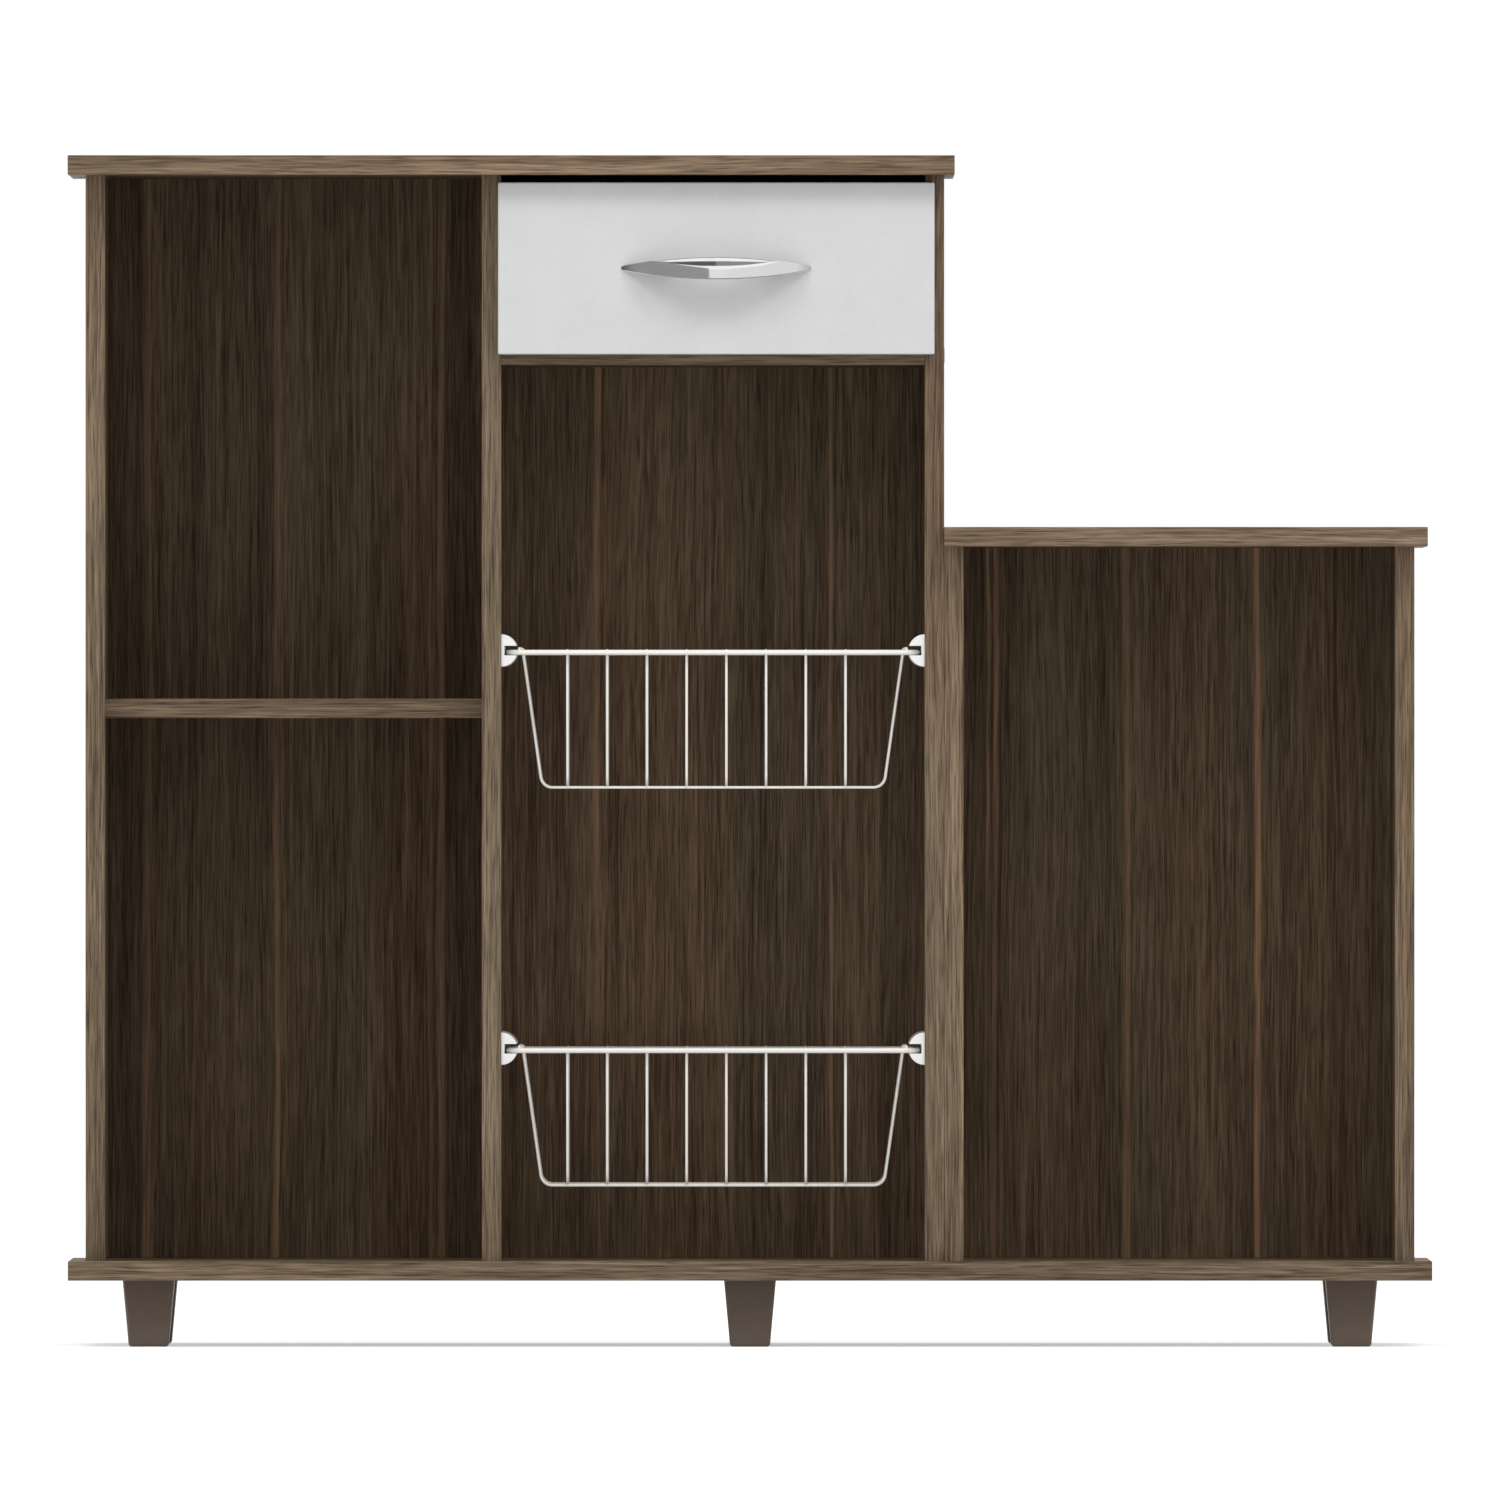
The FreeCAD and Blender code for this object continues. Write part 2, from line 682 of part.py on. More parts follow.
def make_uprights():
    boards = {}
    for label, (x, height, cam_face) in UPRIGHTS.items():
        size = (THICK, "places.side_depth", height)
        board = Board(label, size, (x, "places.side_front_y", "places.floor_z"))
        boards[label] = board
        board.ease(["front_left", "front_right"])
        ends = [(HALF, row) for row in ROWS]
        board.drill("bottom", ends, "dims.board_screw_diameter", SCREW_GRIP)
        board.drill("top", ends, "dims.cam_bolt_bore", "dims.cam_distance")
        dowel_depth = "dims.dowel_length - dims.dowel_seat"
        for end in ("bottom", "top"):
            board.drill(end, [(HALF, MIDDLE_ROW)], "dims.dowel_diameter", dowel_depth)
        cams = [(row, f"{height} - dims.cam_distance") for row in ROWS]
        board.drill(cam_face, cams, "dims.cam_diameter", "dims.cam_length")

    for label, face, height in SHELF_JOINTS:
        boards[label].sink(face, [(row, height) for row in ROWS])
    for label, x, height in NAIL_LINES:
        spots = [(x, z) for z in nail_heights(height)]
        boards[label].drill("back", spots, "dims.nail_diameter", "dims.nail_length")
    ties = [(row, height) for row in ROWS for height in TIE_HEIGHTS]
    for label, face in (("tall_right_side_panel", "left"), ("low_left_side_panel", "right")):
        boards[label].drill(face, ties, "dims.tie_sleeve_diameter")
        boards[label].recess(face, ties, "dims.tie_head_diameter", "dims.tie_head_height")

    guide_spots = [(y, z) for y in GUIDE_SCREWS for z in GUIDE_HEIGHTS.values()]
    runner_spots = [(y, RUNNER_SCREW_HEIGHT) for y in RUNNER_SCREWS]
    for label, face in (("centre_divider", "right"), ("tall_right_side_panel", "left")):
        guide_grip = "dims.guide_screw_length - dims.guide_wall"
        boards[label].drill(face, guide_spots, "dims.guide_screw_diameter", guide_grip)
        boards[label].drill(face, runner_spots, "dims.runner_screw_diameter", "dims.runner_screw_grip")


def upright_middle(label, origin_x):
    """The mid-line of an upright, measured from another board's left end."""
    return f"{UPRIGHTS[label][0]} + {HALF} - {origin_x}"


def joint_spots(labels, origin_x, overhang, rows):
    """Where uprights meet a base or top board, in that board's own coordinates."""
    spots = []
    for label in labels:
        middle = upright_middle(label, origin_x)
        spots += [(middle, f"{overhang} + {row}") for row in rows]
    return spots


# Feet: distance from the base board's left end and from its front edge
FOOT_RIGHT = "places.base_width - dims.foot_end_inset"
FOOT_REAR = "places.base_depth - dims.foot_front_inset"
FEET = {
    "front_left_foot": ("dims.foot_end_inset", "dims.foot_front_inset"),
    "front_right_foot": (FOOT_RIGHT, "dims.foot_front_inset"),
    "front_middle_foot": ("places.base_width / 2", "dims.foot_front_inset"),
    "rear_left_foot": ("dims.foot_end_inset", FOOT_REAR),
    "rear_middle_foot": ("places.base_width / 2", FOOT_REAR),
    "rear_right_foot": (FOOT_RIGHT, FOOT_REAR),
}
ROUND_EDGES = ["front_top", "front_bottom", "left_top", "left_bottom", "right_top", "right_bottom"]
ROUND_CORNERS = ["front_left", "front_right"]


def make_base():
    size = ("places.base_width", "places.base_depth", THICK)
    board = Board("base_panel", size, ("places.base_x", "places.base_y", "dims.foot_height"))
    board.ease(ROUND_EDGES + ROUND_CORNERS)
    overhang = "dims.base_front_overhang"
    dowels = joint_spots(UPRIGHTS, "places.base_x", overhang, [MIDDLE_ROW])
    board.drill("top", dowels, "dims.dowel_diameter", "dims.dowel_seat")
    board.sink("bottom", joint_spots(UPRIGHTS, "places.base_x", overhang, ROWS))
    board.drill("bottom", FEET.values(), "dims.foot_screw_diameter", "dims.foot_screw_grip")


def make_top(label, x, width, z, uprights, eased):
    board = Board(label, (width, "dims.case_depth", THICK), (x, "places.front_y", z))
    board.ease(eased)
    bolts = joint_spots(uprights, x, "dims.front_overhang", ROWS)
    board.drill("bottom", bolts, "dims.cam_bolt_diameter", "dims.cam_bolt_seat")
    dowels = joint_spots(uprights, x, "dims.front_overhang", [MIDDLE_ROW])
    board.drill("bottom", dowels, "dims.dowel_diameter", "dims.dowel_seat")


def make_tops():
    names = list(UPRIGHTS)
    make_top("tall_top_panel", "places.tall_top_x", "places.tall_top_width", "places.tall_top_z",
             names[:3], ROUND_EDGES + ROUND_CORNERS)
    low_edges = [pair for pair in ROUND_EDGES + ROUND_CORNERS if "left" not in pair]
    make_top("low_top_panel", "places.low_left_x", "places.low_top_width", "places.low_top_z",
             names[3:], low_edges)


def make_shelf(label, x, width, z, setback):
    """A board held between two uprights by screws in its ends, set back from their front edges."""
    size = (width, f"places.side_depth - {setback}", THICK)
    board = Board(label, size, (x, f"places.side_front_y + {setback}", z))
    board.ease(["front_top", "front_bottom"])
    for end in ("left", "right"):
        spots = [(f"{row} - {setback}", HALF) for row in ROWS]
        board.drill(end, spots, "dims.board_screw_diameter", SCREW_GRIP)


def make_backs():
    """Thin dark backs, held between the base and the tops and nailed to the uprights."""
    seam = f"{HALF} - dims.back_seam / 2"
    spans = {
        "left_back_panel": ("places.left_side_x + dims.back_edge_margin",
                            f"places.divider_x + {seam}", TALL, NAIL_LINES[0:2]),
        "centre_back_panel": (f"places.divider_x + {HALF} + dims.back_seam / 2",
                              "places.low_left_x - dims.back_edge_margin", TALL, NAIL_LINES[2:4]),
        "right_back_panel": ("places.low_left_x + dims.back_edge_margin",
                             f"places.low_right_x + {THICK} - dims.back_edge_margin", LOW,
                             NAIL_LINES[4:6]),
    }
    for label, (start, end, height, lines) in spans.items():
        size = (f"{end} - ({start})", "dims.back_thickness", height)
        board = Board(label, size, (start, "places.side_back_y", "places.floor_z"))
        spots = []
        for upright, x, run in lines:
            across = f"{UPRIGHTS[upright][0]} + {x} - ({start})"
            spots += [(across, z) for z in nail_heights(run)]
        board.drill("back", spots, "dims.nail_diameter")


def make_screw(label, head, head_height, shank, length, sunk):
    """A screw drawn along +Z from the top of its head; a sunk head is a 90 degree cone."""
    shank_radius = f"{shank} / 2"
    seat = f"({head} - {shank}) / 2" if sunk else head_height
    rim = [(f"{head} / 2", "0")]
    if not sunk:
        rim = [(f"{head} / 2 - {head_height} / 3", "0"), (f"{head} / 2", f"{head_height} / 2"),
               (f"{head} / 2", seat)]
    tip = [(shank_radius, seat), (shank_radius, f"{length} - {shank_radius}"), ("0", length)]
    return turned(label, [("0", "0")] + rim + tip)


def make_cam():
    """A cam lock drawn from its open face along +Z, with the bolt's bore coming in along +X."""
    body = new_body("cam_master")
    disc = new_sketch(body, "XY_Plane")
    circles(disc, [("0", "0")], "dims.cam_diameter")
    pad(body, disc, "dims.cam_length")
    bore = new_sketch(body, "YZ_Plane", "dims.cam_diameter / 2")
    circles(bore, [("0", HALF)], "dims.cam_bore")
    pocket(body, bore, "dims.cam_diameter / 2 + dims.cam_bolt_overrun + dims.hole_end_gap")
    return body


def make_cam_bolt():
    """A cam bolt drawn along +Z from the end of its head."""
    neck_end = "dims.cam_bolt_head_length + dims.cam_bolt_neck_length"
    length = "dims.cam_bolt_overrun + dims.cam_distance + dims.cam_bolt_seat"
    head, neck, shank = (f"dims.cam_bolt_{name} / 2" for name in ("head", "neck", "diameter"))
    return turned("cam_bolt_master", [
        ("0", "0"), (head, "0"), (head, "dims.cam_bolt_head_length"),
        (neck, "dims.cam_bolt_head_length"), (neck, neck_end), (shank, neck_end),
        (shank, length), ("0", length)])


def make_dowel():
    radius = "dims.dowel_diameter / 2"
    ease = "dims.dowel_diameter / 8"
    length = "dims.dowel_length"
    return turned("dowel_master", [
        ("0", "0"), (f"{radius} - {ease}", "0"), (radius, ease), (radius, f"{length} - {ease}"),
        (f"{radius} - {ease}", length), ("0", length)])


def make_tie_nut():
    """A flanged sleeve nut drawn along +Z from its flange."""
    bore = "(dims.tie_bolt_diameter + dims.hole_clearance) / 2"
    end = "dims.tie_head_height + dims.tie_sleeve_length"
    floor = "dims.tie_head_height + dims.tie_nut_floor"
    return turned("tie_nut_master", [
        ("0", "0"), ("dims.tie_head_diameter / 2", "0"),
        ("dims.tie_head_diameter / 2", "dims.tie_head_height"),
        ("dims.tie_sleeve_diameter / 2", "dims.tie_head_height"),
        ("dims.tie_sleeve_diameter / 2", end), (bore, end), (bore, floor), ("0", floor)])


def make_cap():
    radius = "dims.cap_diameter / 2"
    return turned("cap_master", [
        ("0", "0"), (f"{radius} - dims.cap_height / 2", "0"), (radius, "dims.cap_height / 2"),
        (radius, "dims.cap_height"), ("0", "dims.cap_height")])


def make_board_fasteners():
    """Screws, dowels, cam locks, cam bolts, caps, tie bolts and nails of the case."""
    screw = make_screw("board_screw_master", "dims.board_screw_head", None,
                       "dims.board_screw_diameter", "dims.board_screw_length", sunk=True)
    cam, bolt, dowel, cap, nut = make_cam(), make_cam_bolt(), make_dowel(), make_cap(), make_tie_nut()
    base_screws, dowels, cams, bolts = [], [], [], []
    for x, height, cam_face in UPRIGHTS.values():
        middle = f"{x} + {HALF}"
        top = f"places.floor_z + {height}"
        face_x = x if cam_face == "left" else f"{x} + {THICK}"
        inward = VEC(1, 0, 0) if cam_face == "left" else VEC(-1, 0, 0)
        cam_turn = FreeCAD.Rotation(VEC(0, 0, 1), VEC(), inward, "ZXY")
        for row in ROWS:
            y = f"places.side_front_y + {row}"
            base_screws.append((screw, (middle, y, "dims.foot_height"), UP))
            cams.append((cam, (face_x, y, f"{top} - dims.cam_distance"), cam_turn))
            bolt_z = f"{top} - dims.cam_distance - dims.cam_bolt_overrun"
            bolts.append((bolt, (middle, y, bolt_z), UP))
        y = f"places.side_front_y + {MIDDLE_ROW}"
        dowels.append((dowel, (middle, y, "places.floor_z - dims.dowel_seat"), UP))
        dowels.append((dowel, (middle, y, f"{top} + dims.dowel_seat - dims.dowel_length"), UP))
    group("base_screws", base_screws)
    group("dowels", dowels)
    group("cam_locks", cams)
    group("cam_bolts", bolts)

    shelf_screws, caps = [], []
    for label, face, height in SHELF_JOINTS:
        x = UPRIGHTS[label][0]
        face_x = x if face == "left" else f"{x} + {THICK}"
        cap_x = f"{x} - dims.cap_height" if face == "left" else f"{face_x} + dims.cap_height"
        turn = TO_RIGHT if face == "left" else TO_LEFT
        for row in ROWS:
            y, z = f"places.side_front_y + {row}", f"places.floor_z + {height}"
            shelf_screws.append((screw, (face_x, y, z), turn))
            caps.append((cap, (cap_x, y, z), turn))
    group("shelf_screws", shelf_screws)
    group("screw_caps", caps)

    tie = make_screw("tie_bolt_master", "dims.tie_head_diameter", "dims.tie_head_height",
                     "dims.tie_bolt_diameter", "dims.tie_head_height + dims.tie_bolt_length",
                     sunk=False)
    nuts, ties = [], []
    for row in ROWS:
        for height in TIE_HEIGHTS:
            y, z = f"places.side_front_y + {row}", f"places.floor_z + {height}"
            ties.append((tie, ("places.tall_right_x", y, z), TO_RIGHT))
            nuts.append((nut, ("places.right_bay_x", y, z), TO_LEFT))
    group("tie_bolts", ties)
    group("tie_nuts", nuts)

    nail = make_screw("nail_master", "dims.nail_head_diameter", "dims.nail_head_height",
                      "dims.nail_diameter", "dims.nail_head_height + dims.nail_length", sunk=False)
    nails = []
    for label, x, height in NAIL_LINES:
        for rise in nail_heights(height):
            y = "places.side_back_y + dims.back_thickness + dims.nail_head_height"
            spot = (f"{UPRIGHTS[label][0]} + {x}", y, f"places.floor_z + {rise}")
            nails.append((nail, spot, TO_FRONT))
    group("back_nails", nails)
    return screw, cam, bolt


def rounded_square(body, height, inset, radius):
    """A sketch of a square with round corners, set in from the foot's widest outline."""
    sketch = new_sketch(body, "XY_Plane", height)
    far = f"dims.foot_top_width - ({inset})"
    rounded_path(sketch, [(inset, inset), (far, inset), (far, far), (inset, far)], radius, closed=True)
    return sketch


def crossed_ribs(body, height, inset):
    """A sketch of two ribs that cross in the foot's middle, set in from its widest outline."""
    sketch = new_sketch(body, "XY_Plane", height)
    near, far = (f"(dims.foot_top_width {sign} dims.foot_rib) / 2" for sign in "-+")
    end = f"dims.foot_top_width - ({inset})"
    polygon(sketch, [(near, inset), (far, inset), (far, near), (end, near), (end, far), (far, far),
                     (far, end), (near, end), (near, far), (inset, far), (inset, near), (near, near)])
    return sketch


def loft(body, kind, sections):
    feature = body.newObject(f"PartDesign::{kind}Loft", "loft")
    feature.Profile = sections[0]
    feature.Sections = sections[1:]
    feature.Ruled = True
    doc.recompute()
    return feature


def make_foot(label, x, y):
    """A hollow tapered foot, open at the top, with a ribbed boss that its screw is driven up through."""
    body = keep(new_body(label, x, y), label)
    taper = "(dims.foot_top_width - dims.foot_bottom_width) / 2"
    corner, ease, wall = "dims.foot_corner_radius", "dims.foot_bottom_ease", "dims.foot_wall"
    loft(body, "Additive", [
        rounded_square(body, "0", f"{taper} + {ease}", f"{corner} - {ease} / 2"),
        rounded_square(body, ease, taper, corner),
        rounded_square(body, "dims.foot_height", "0", corner)])
    loft(body, "Subtractive", [
        rounded_square(body, wall, f"{taper} + {wall}", f"{corner} / 2"),
        rounded_square(body, "dims.foot_height", wall, f"{corner} / 2")])

    centre = ("dims.foot_top_width / 2", "dims.foot_top_width / 2")
    boss = new_sketch(body, "XY_Plane", "dims.foot_wall / 2")
    circles(boss, [centre], "dims.foot_boss_diameter")
    pad(body, boss, "dims.foot_height - dims.foot_wall / 2")
    top_taper = f"{taper} * dims.foot_rib_drop / (dims.foot_height - {wall})"
    loft(body, "Additive", [
        crossed_ribs(body, wall, f"{taper} + {wall} / 2"),
        crossed_ribs(body, "dims.foot_height - dims.foot_rib_drop", f"{top_taper} + {wall} / 2")])
    driver = new_sketch(body, "XY_Plane")
    circles(driver, [centre], "dims.foot_driver_bore")
    pocket(body, driver, "dims.foot_height - dims.foot_screw_seat", reverse=True)
    hole = new_sketch(body, "XY_Plane")
    circles(hole, [centre], "dims.foot_screw_diameter + dims.hole_clearance")
    pocket(body, hole, None, reverse=True)


def make_feet():
    screw = make_screw("foot_screw_master", "dims.foot_screw_head", "dims.foot_screw_head_height",
                       "dims.foot_screw_diameter",
                       "dims.foot_screw_head_height + dims.foot_screw_seat + dims.foot_screw_grip",
                       sunk=False)
    screws = []
    corner = "dims.foot_top_width / 2"
    screw_z = "dims.foot_height - dims.foot_screw_seat - dims.foot_screw_head_height"
    for label, (x, y) in FEET.items():
        centre_x, centre_y = f"places.base_x + {x}", f"places.base_y + {y}"
        make_foot(label, f"{centre_x} - {corner}", f"{centre_y} - {corner}")
        screws.append((screw, (centre_x, centre_y, screw_z), UP))
    group("foot_screws", screws)


def make_guide(label, side, centre_z):
    """A half-round basket track with a slot along it; the right one is the left one turned over."""
    radius, slot = "dims.guide_radius", "dims.guide_slot_height"
    if side == "left":
        spot = ("places.centre_bay_x", "places.guide_y", f"{centre_z} - {radius}")
        body = new_body(label, *spot)
    else:
        spot = ("places.tall_right_x", "places.guide_y", f"{centre_z} + {radius}")
        body = new_body(label, *spot, HALF_TURN_Y)
    keep(body, label)
    outline = new_sketch(body, "XZ_Plane")
    bow(outline, ("0", "0"), (radius, radius), ("0", f"2 * {radius}"))
    segment(outline, ("0", f"2 * {radius}"), ("0", "0"))
    pad(body, outline, "places.guide_length", reverse=True)
    track = new_sketch(body, "XZ_Plane")
    rectangle(track, "dims.guide_wall", f"{radius} - {slot} / 2",
              f"{radius} + dims.sketch_margin", f"{radius} + {slot} / 2")
    pocket(body, track, None)
    fillet(body, lambda edge: edge.Curve.TypeId == "Part::GeomCircle", "dims.guide_edge_radius")
    holes = new_sketch(body, "YZ_Plane", "dims.guide_wall")
    spots = [("dims.guide_screw_inset", radius),
             ("places.guide_length - dims.guide_screw_inset", radius)]
    shank = "dims.guide_screw_diameter + dims.hole_clearance"
    circles(holes, spots, shank)
    sunk_hole(body, holes, shank, "dims.guide_screw_head + dims.hole_clearance")


def make_guides():
    screw = make_screw("guide_screw_master", "dims.guide_screw_head", None,
                       "dims.guide_screw_diameter", "dims.guide_screw_length", sunk=True)
    screws = []
    for level, height in GUIDE_HEIGHTS.items():
        centre_z = f"places.floor_z + {height}"
        for side in ("left", "right"):
            make_guide(f"{level}_{side}_basket_guide", side, centre_z)
        for distance in GUIDE_SCREWS:
            y = f"places.side_front_y + {distance}"
            left = ("places.centre_bay_x + dims.guide_wall", y, centre_z)
            right = ("places.tall_right_x - dims.guide_wall", y, centre_z)
            screws += [(screw, left, TO_LEFT), (screw, right, TO_RIGHT)]
    group("guide_screws", screws)


def axle(body, mirror, start, sections, y, z):
    """Round steps of an axle along X, each a (diameter, length), from a distance off the wall."""
    for diameter, length in sections:
        offset = mirror(f"{start} + {length}") if mirror else start
        sketch = new_sketch(body, "YZ_Plane", offset)
        circles(sketch, [(y, z)], diameter)
        pad(body, sketch, length)
        start = f"{start} + {length}"


def make_channel(side):
    """A cabinet slide: a C channel against the bay wall, with the front roller's axle."""
    label = f"cabinet_runner_{side}"
    wall, space = "dims.runner_steel", "dims.runner_space"
    mirror = (lambda u: f"{space} - ({u})") if side == "right" else None
    flip = mirror or (lambda u: u)
    x = "places.centre_bay_x" if side == "left" else f"places.tall_right_x - {space}"
    body = keep(new_body(label, x, "places.runner_y", "places.runner_z"), label)
    high, wide = "places.channel_height", "places.channel_width"
    outline = new_sketch(body, "XZ_Plane")
    polygon(outline, [(flip(u), v) for u, v in [
        ("0", "0"), (wide, "0"), (wide, wall), (wall, wall), (wall, f"{high} - {wall}"),
        (wide, f"{high} - {wall}"), (wide, high), ("0", high)]])
    pad(body, outline, "places.runner_length", reverse=True)
    screws = new_sketch(body, "YZ_Plane", flip("0"))
    spots = [("dims.runner_screw_inset", "places.axle_height"),
             ("places.runner_length - dims.runner_screw_inset", "places.axle_height")]
    circles(screws, spots, "dims.runner_screw_diameter + dims.hole_clearance")
    pocket(body, screws, f"2 * {wall}", reverse=side == "left")
    axle(body, mirror, wall, [
        ("dims.axle_collar_diameter", "dims.axle_collar_length"),
        ("dims.axle_diameter", "dims.roller_width + 2 * dims.axle_end_play"),
        ("dims.axle_collar_diameter", "dims.axle_head_length")],
        "dims.roller_end_inset", "places.axle_height")


def make_slide(side):
    """A drawer slide: web, outward flange and lip under the drawer side, with the rear axle."""
    label = f"drawer_runner_{side}"
    wall, space = "dims.runner_steel", "dims.runner_space"
    wide = "places.slide_width"
    mirror = (lambda u: f"{wide} - ({u})") if side == "right" else None
    flip = mirror or (lambda u: u)
    x = "places.centre_bay_x" if side == "left" else f"places.tall_right_x - {wide}"
    body = keep(new_body(label, x, "places.slide_y", "places.slide_z"), label)
    web, flange = "places.slide_web_x", "places.slide_rise + places.flange_height"
    outline = new_sketch(body, "XZ_Plane")
    polygon(outline, [(flip(u), v) for u, v in [
        (web, "0"), (wide, "0"), (wide, wall), (space, wall), (space, f"{flange} + {wall}"),
        ("dims.flange_wall_gap", f"{flange} + {wall}"), ("dims.flange_wall_gap", flange),
        (web, flange)]])
    pad(body, outline, "places.slide_length", reverse=True)
    height = "places.slide_rise + places.axle_height"
    screws = new_sketch(body, "YZ_Plane", flip(web))
    spots = [("dims.runner_screw_inset", height),
             ("places.slide_length - dims.runner_screw_inset", height)]
    circles(screws, spots, "dims.runner_screw_diameter + dims.hole_clearance")
    pocket(body, screws, f"2 * {wall}", reverse=side == "left")
    head = "places.rear_roller_x - dims.axle_end_play - dims.axle_head_length"
    axle(body, mirror, head, [
        ("dims.axle_collar_diameter", "dims.axle_head_length"),
        ("dims.axle_diameter", "dims.roller_width + 2 * dims.axle_end_play"),
        ("dims.axle_collar_diameter", "dims.axle_collar_length")],
        "places.rear_axle_y", height)


def make_roller(label, x, y, z):
    """A nylon roller that turns on an axle along X."""
    body = turned(label, [
        ("dims.axle_diameter / 2 + dims.axle_clearance", "0"),
        ("dims.roller_radius - dims.roller_chamfer", "0"),
        ("dims.roller_radius", "dims.roller_chamfer"),
        ("dims.roller_radius", "dims.roller_width - dims.roller_chamfer"),
        ("dims.roller_radius - dims.roller_chamfer", "dims.roller_width"),
        ("dims.axle_diameter / 2 + dims.axle_clearance", "dims.roller_width")])
    place(body, x, y, z, TO_RIGHT)
    keep(body, label)


def make_slides():
    screw = make_screw("runner_screw_master", "dims.runner_screw_head",
                       "dims.runner_screw_head_height", "dims.runner_screw_diameter",
                       "dims.runner_screw_head_height + dims.runner_steel + dims.runner_screw_grip",
                       sunk=False)
    head, steel = "dims.runner_screw_head_height", "dims.runner_steel"
    wall_x = {"left": "places.centre_bay_x", "right": "places.tall_right_x"}
    axle_z = "places.runner_z + places.axle_height"
    runner_screws, slide_screws = [], []
    for side, sign in (("left", "+"), ("right", "-")):
        make_channel(side)
        make_slide(side)
        shift = "" if side == "left" else " - dims.roller_width"
        for end, distance, y in (
                ("front", "places.front_roller_x", "places.runner_y + dims.roller_end_inset"),
                ("rear", "places.rear_roller_x", "places.slide_y + places.rear_axle_y")):
            x = f"{wall_x[side]} {sign} ({distance}){shift}"
            make_roller(f"{end}_roller_{side}", x, y, axle_z)
        into_wall, into_box = (TO_LEFT, TO_RIGHT) if side == "left" else (TO_RIGHT, TO_LEFT)
        for distance in RUNNER_SCREWS:
            spot = (f"{wall_x[side]} {sign} ({steel} + {head})",
                    f"places.side_front_y + {distance}", axle_z)
            runner_screws.append((screw, spot, into_wall))
        for distance in SLIDE_SCREWS:
            spot = (f"{wall_x[side]} {sign} (places.slide_web_x - {head})",
                    f"places.box_y + {distance}", axle_z)
            slide_screws.append((screw, spot, into_box))
    group("cabinet_runner_screws", runner_screws)
    group("drawer_runner_screws", slide_screws)


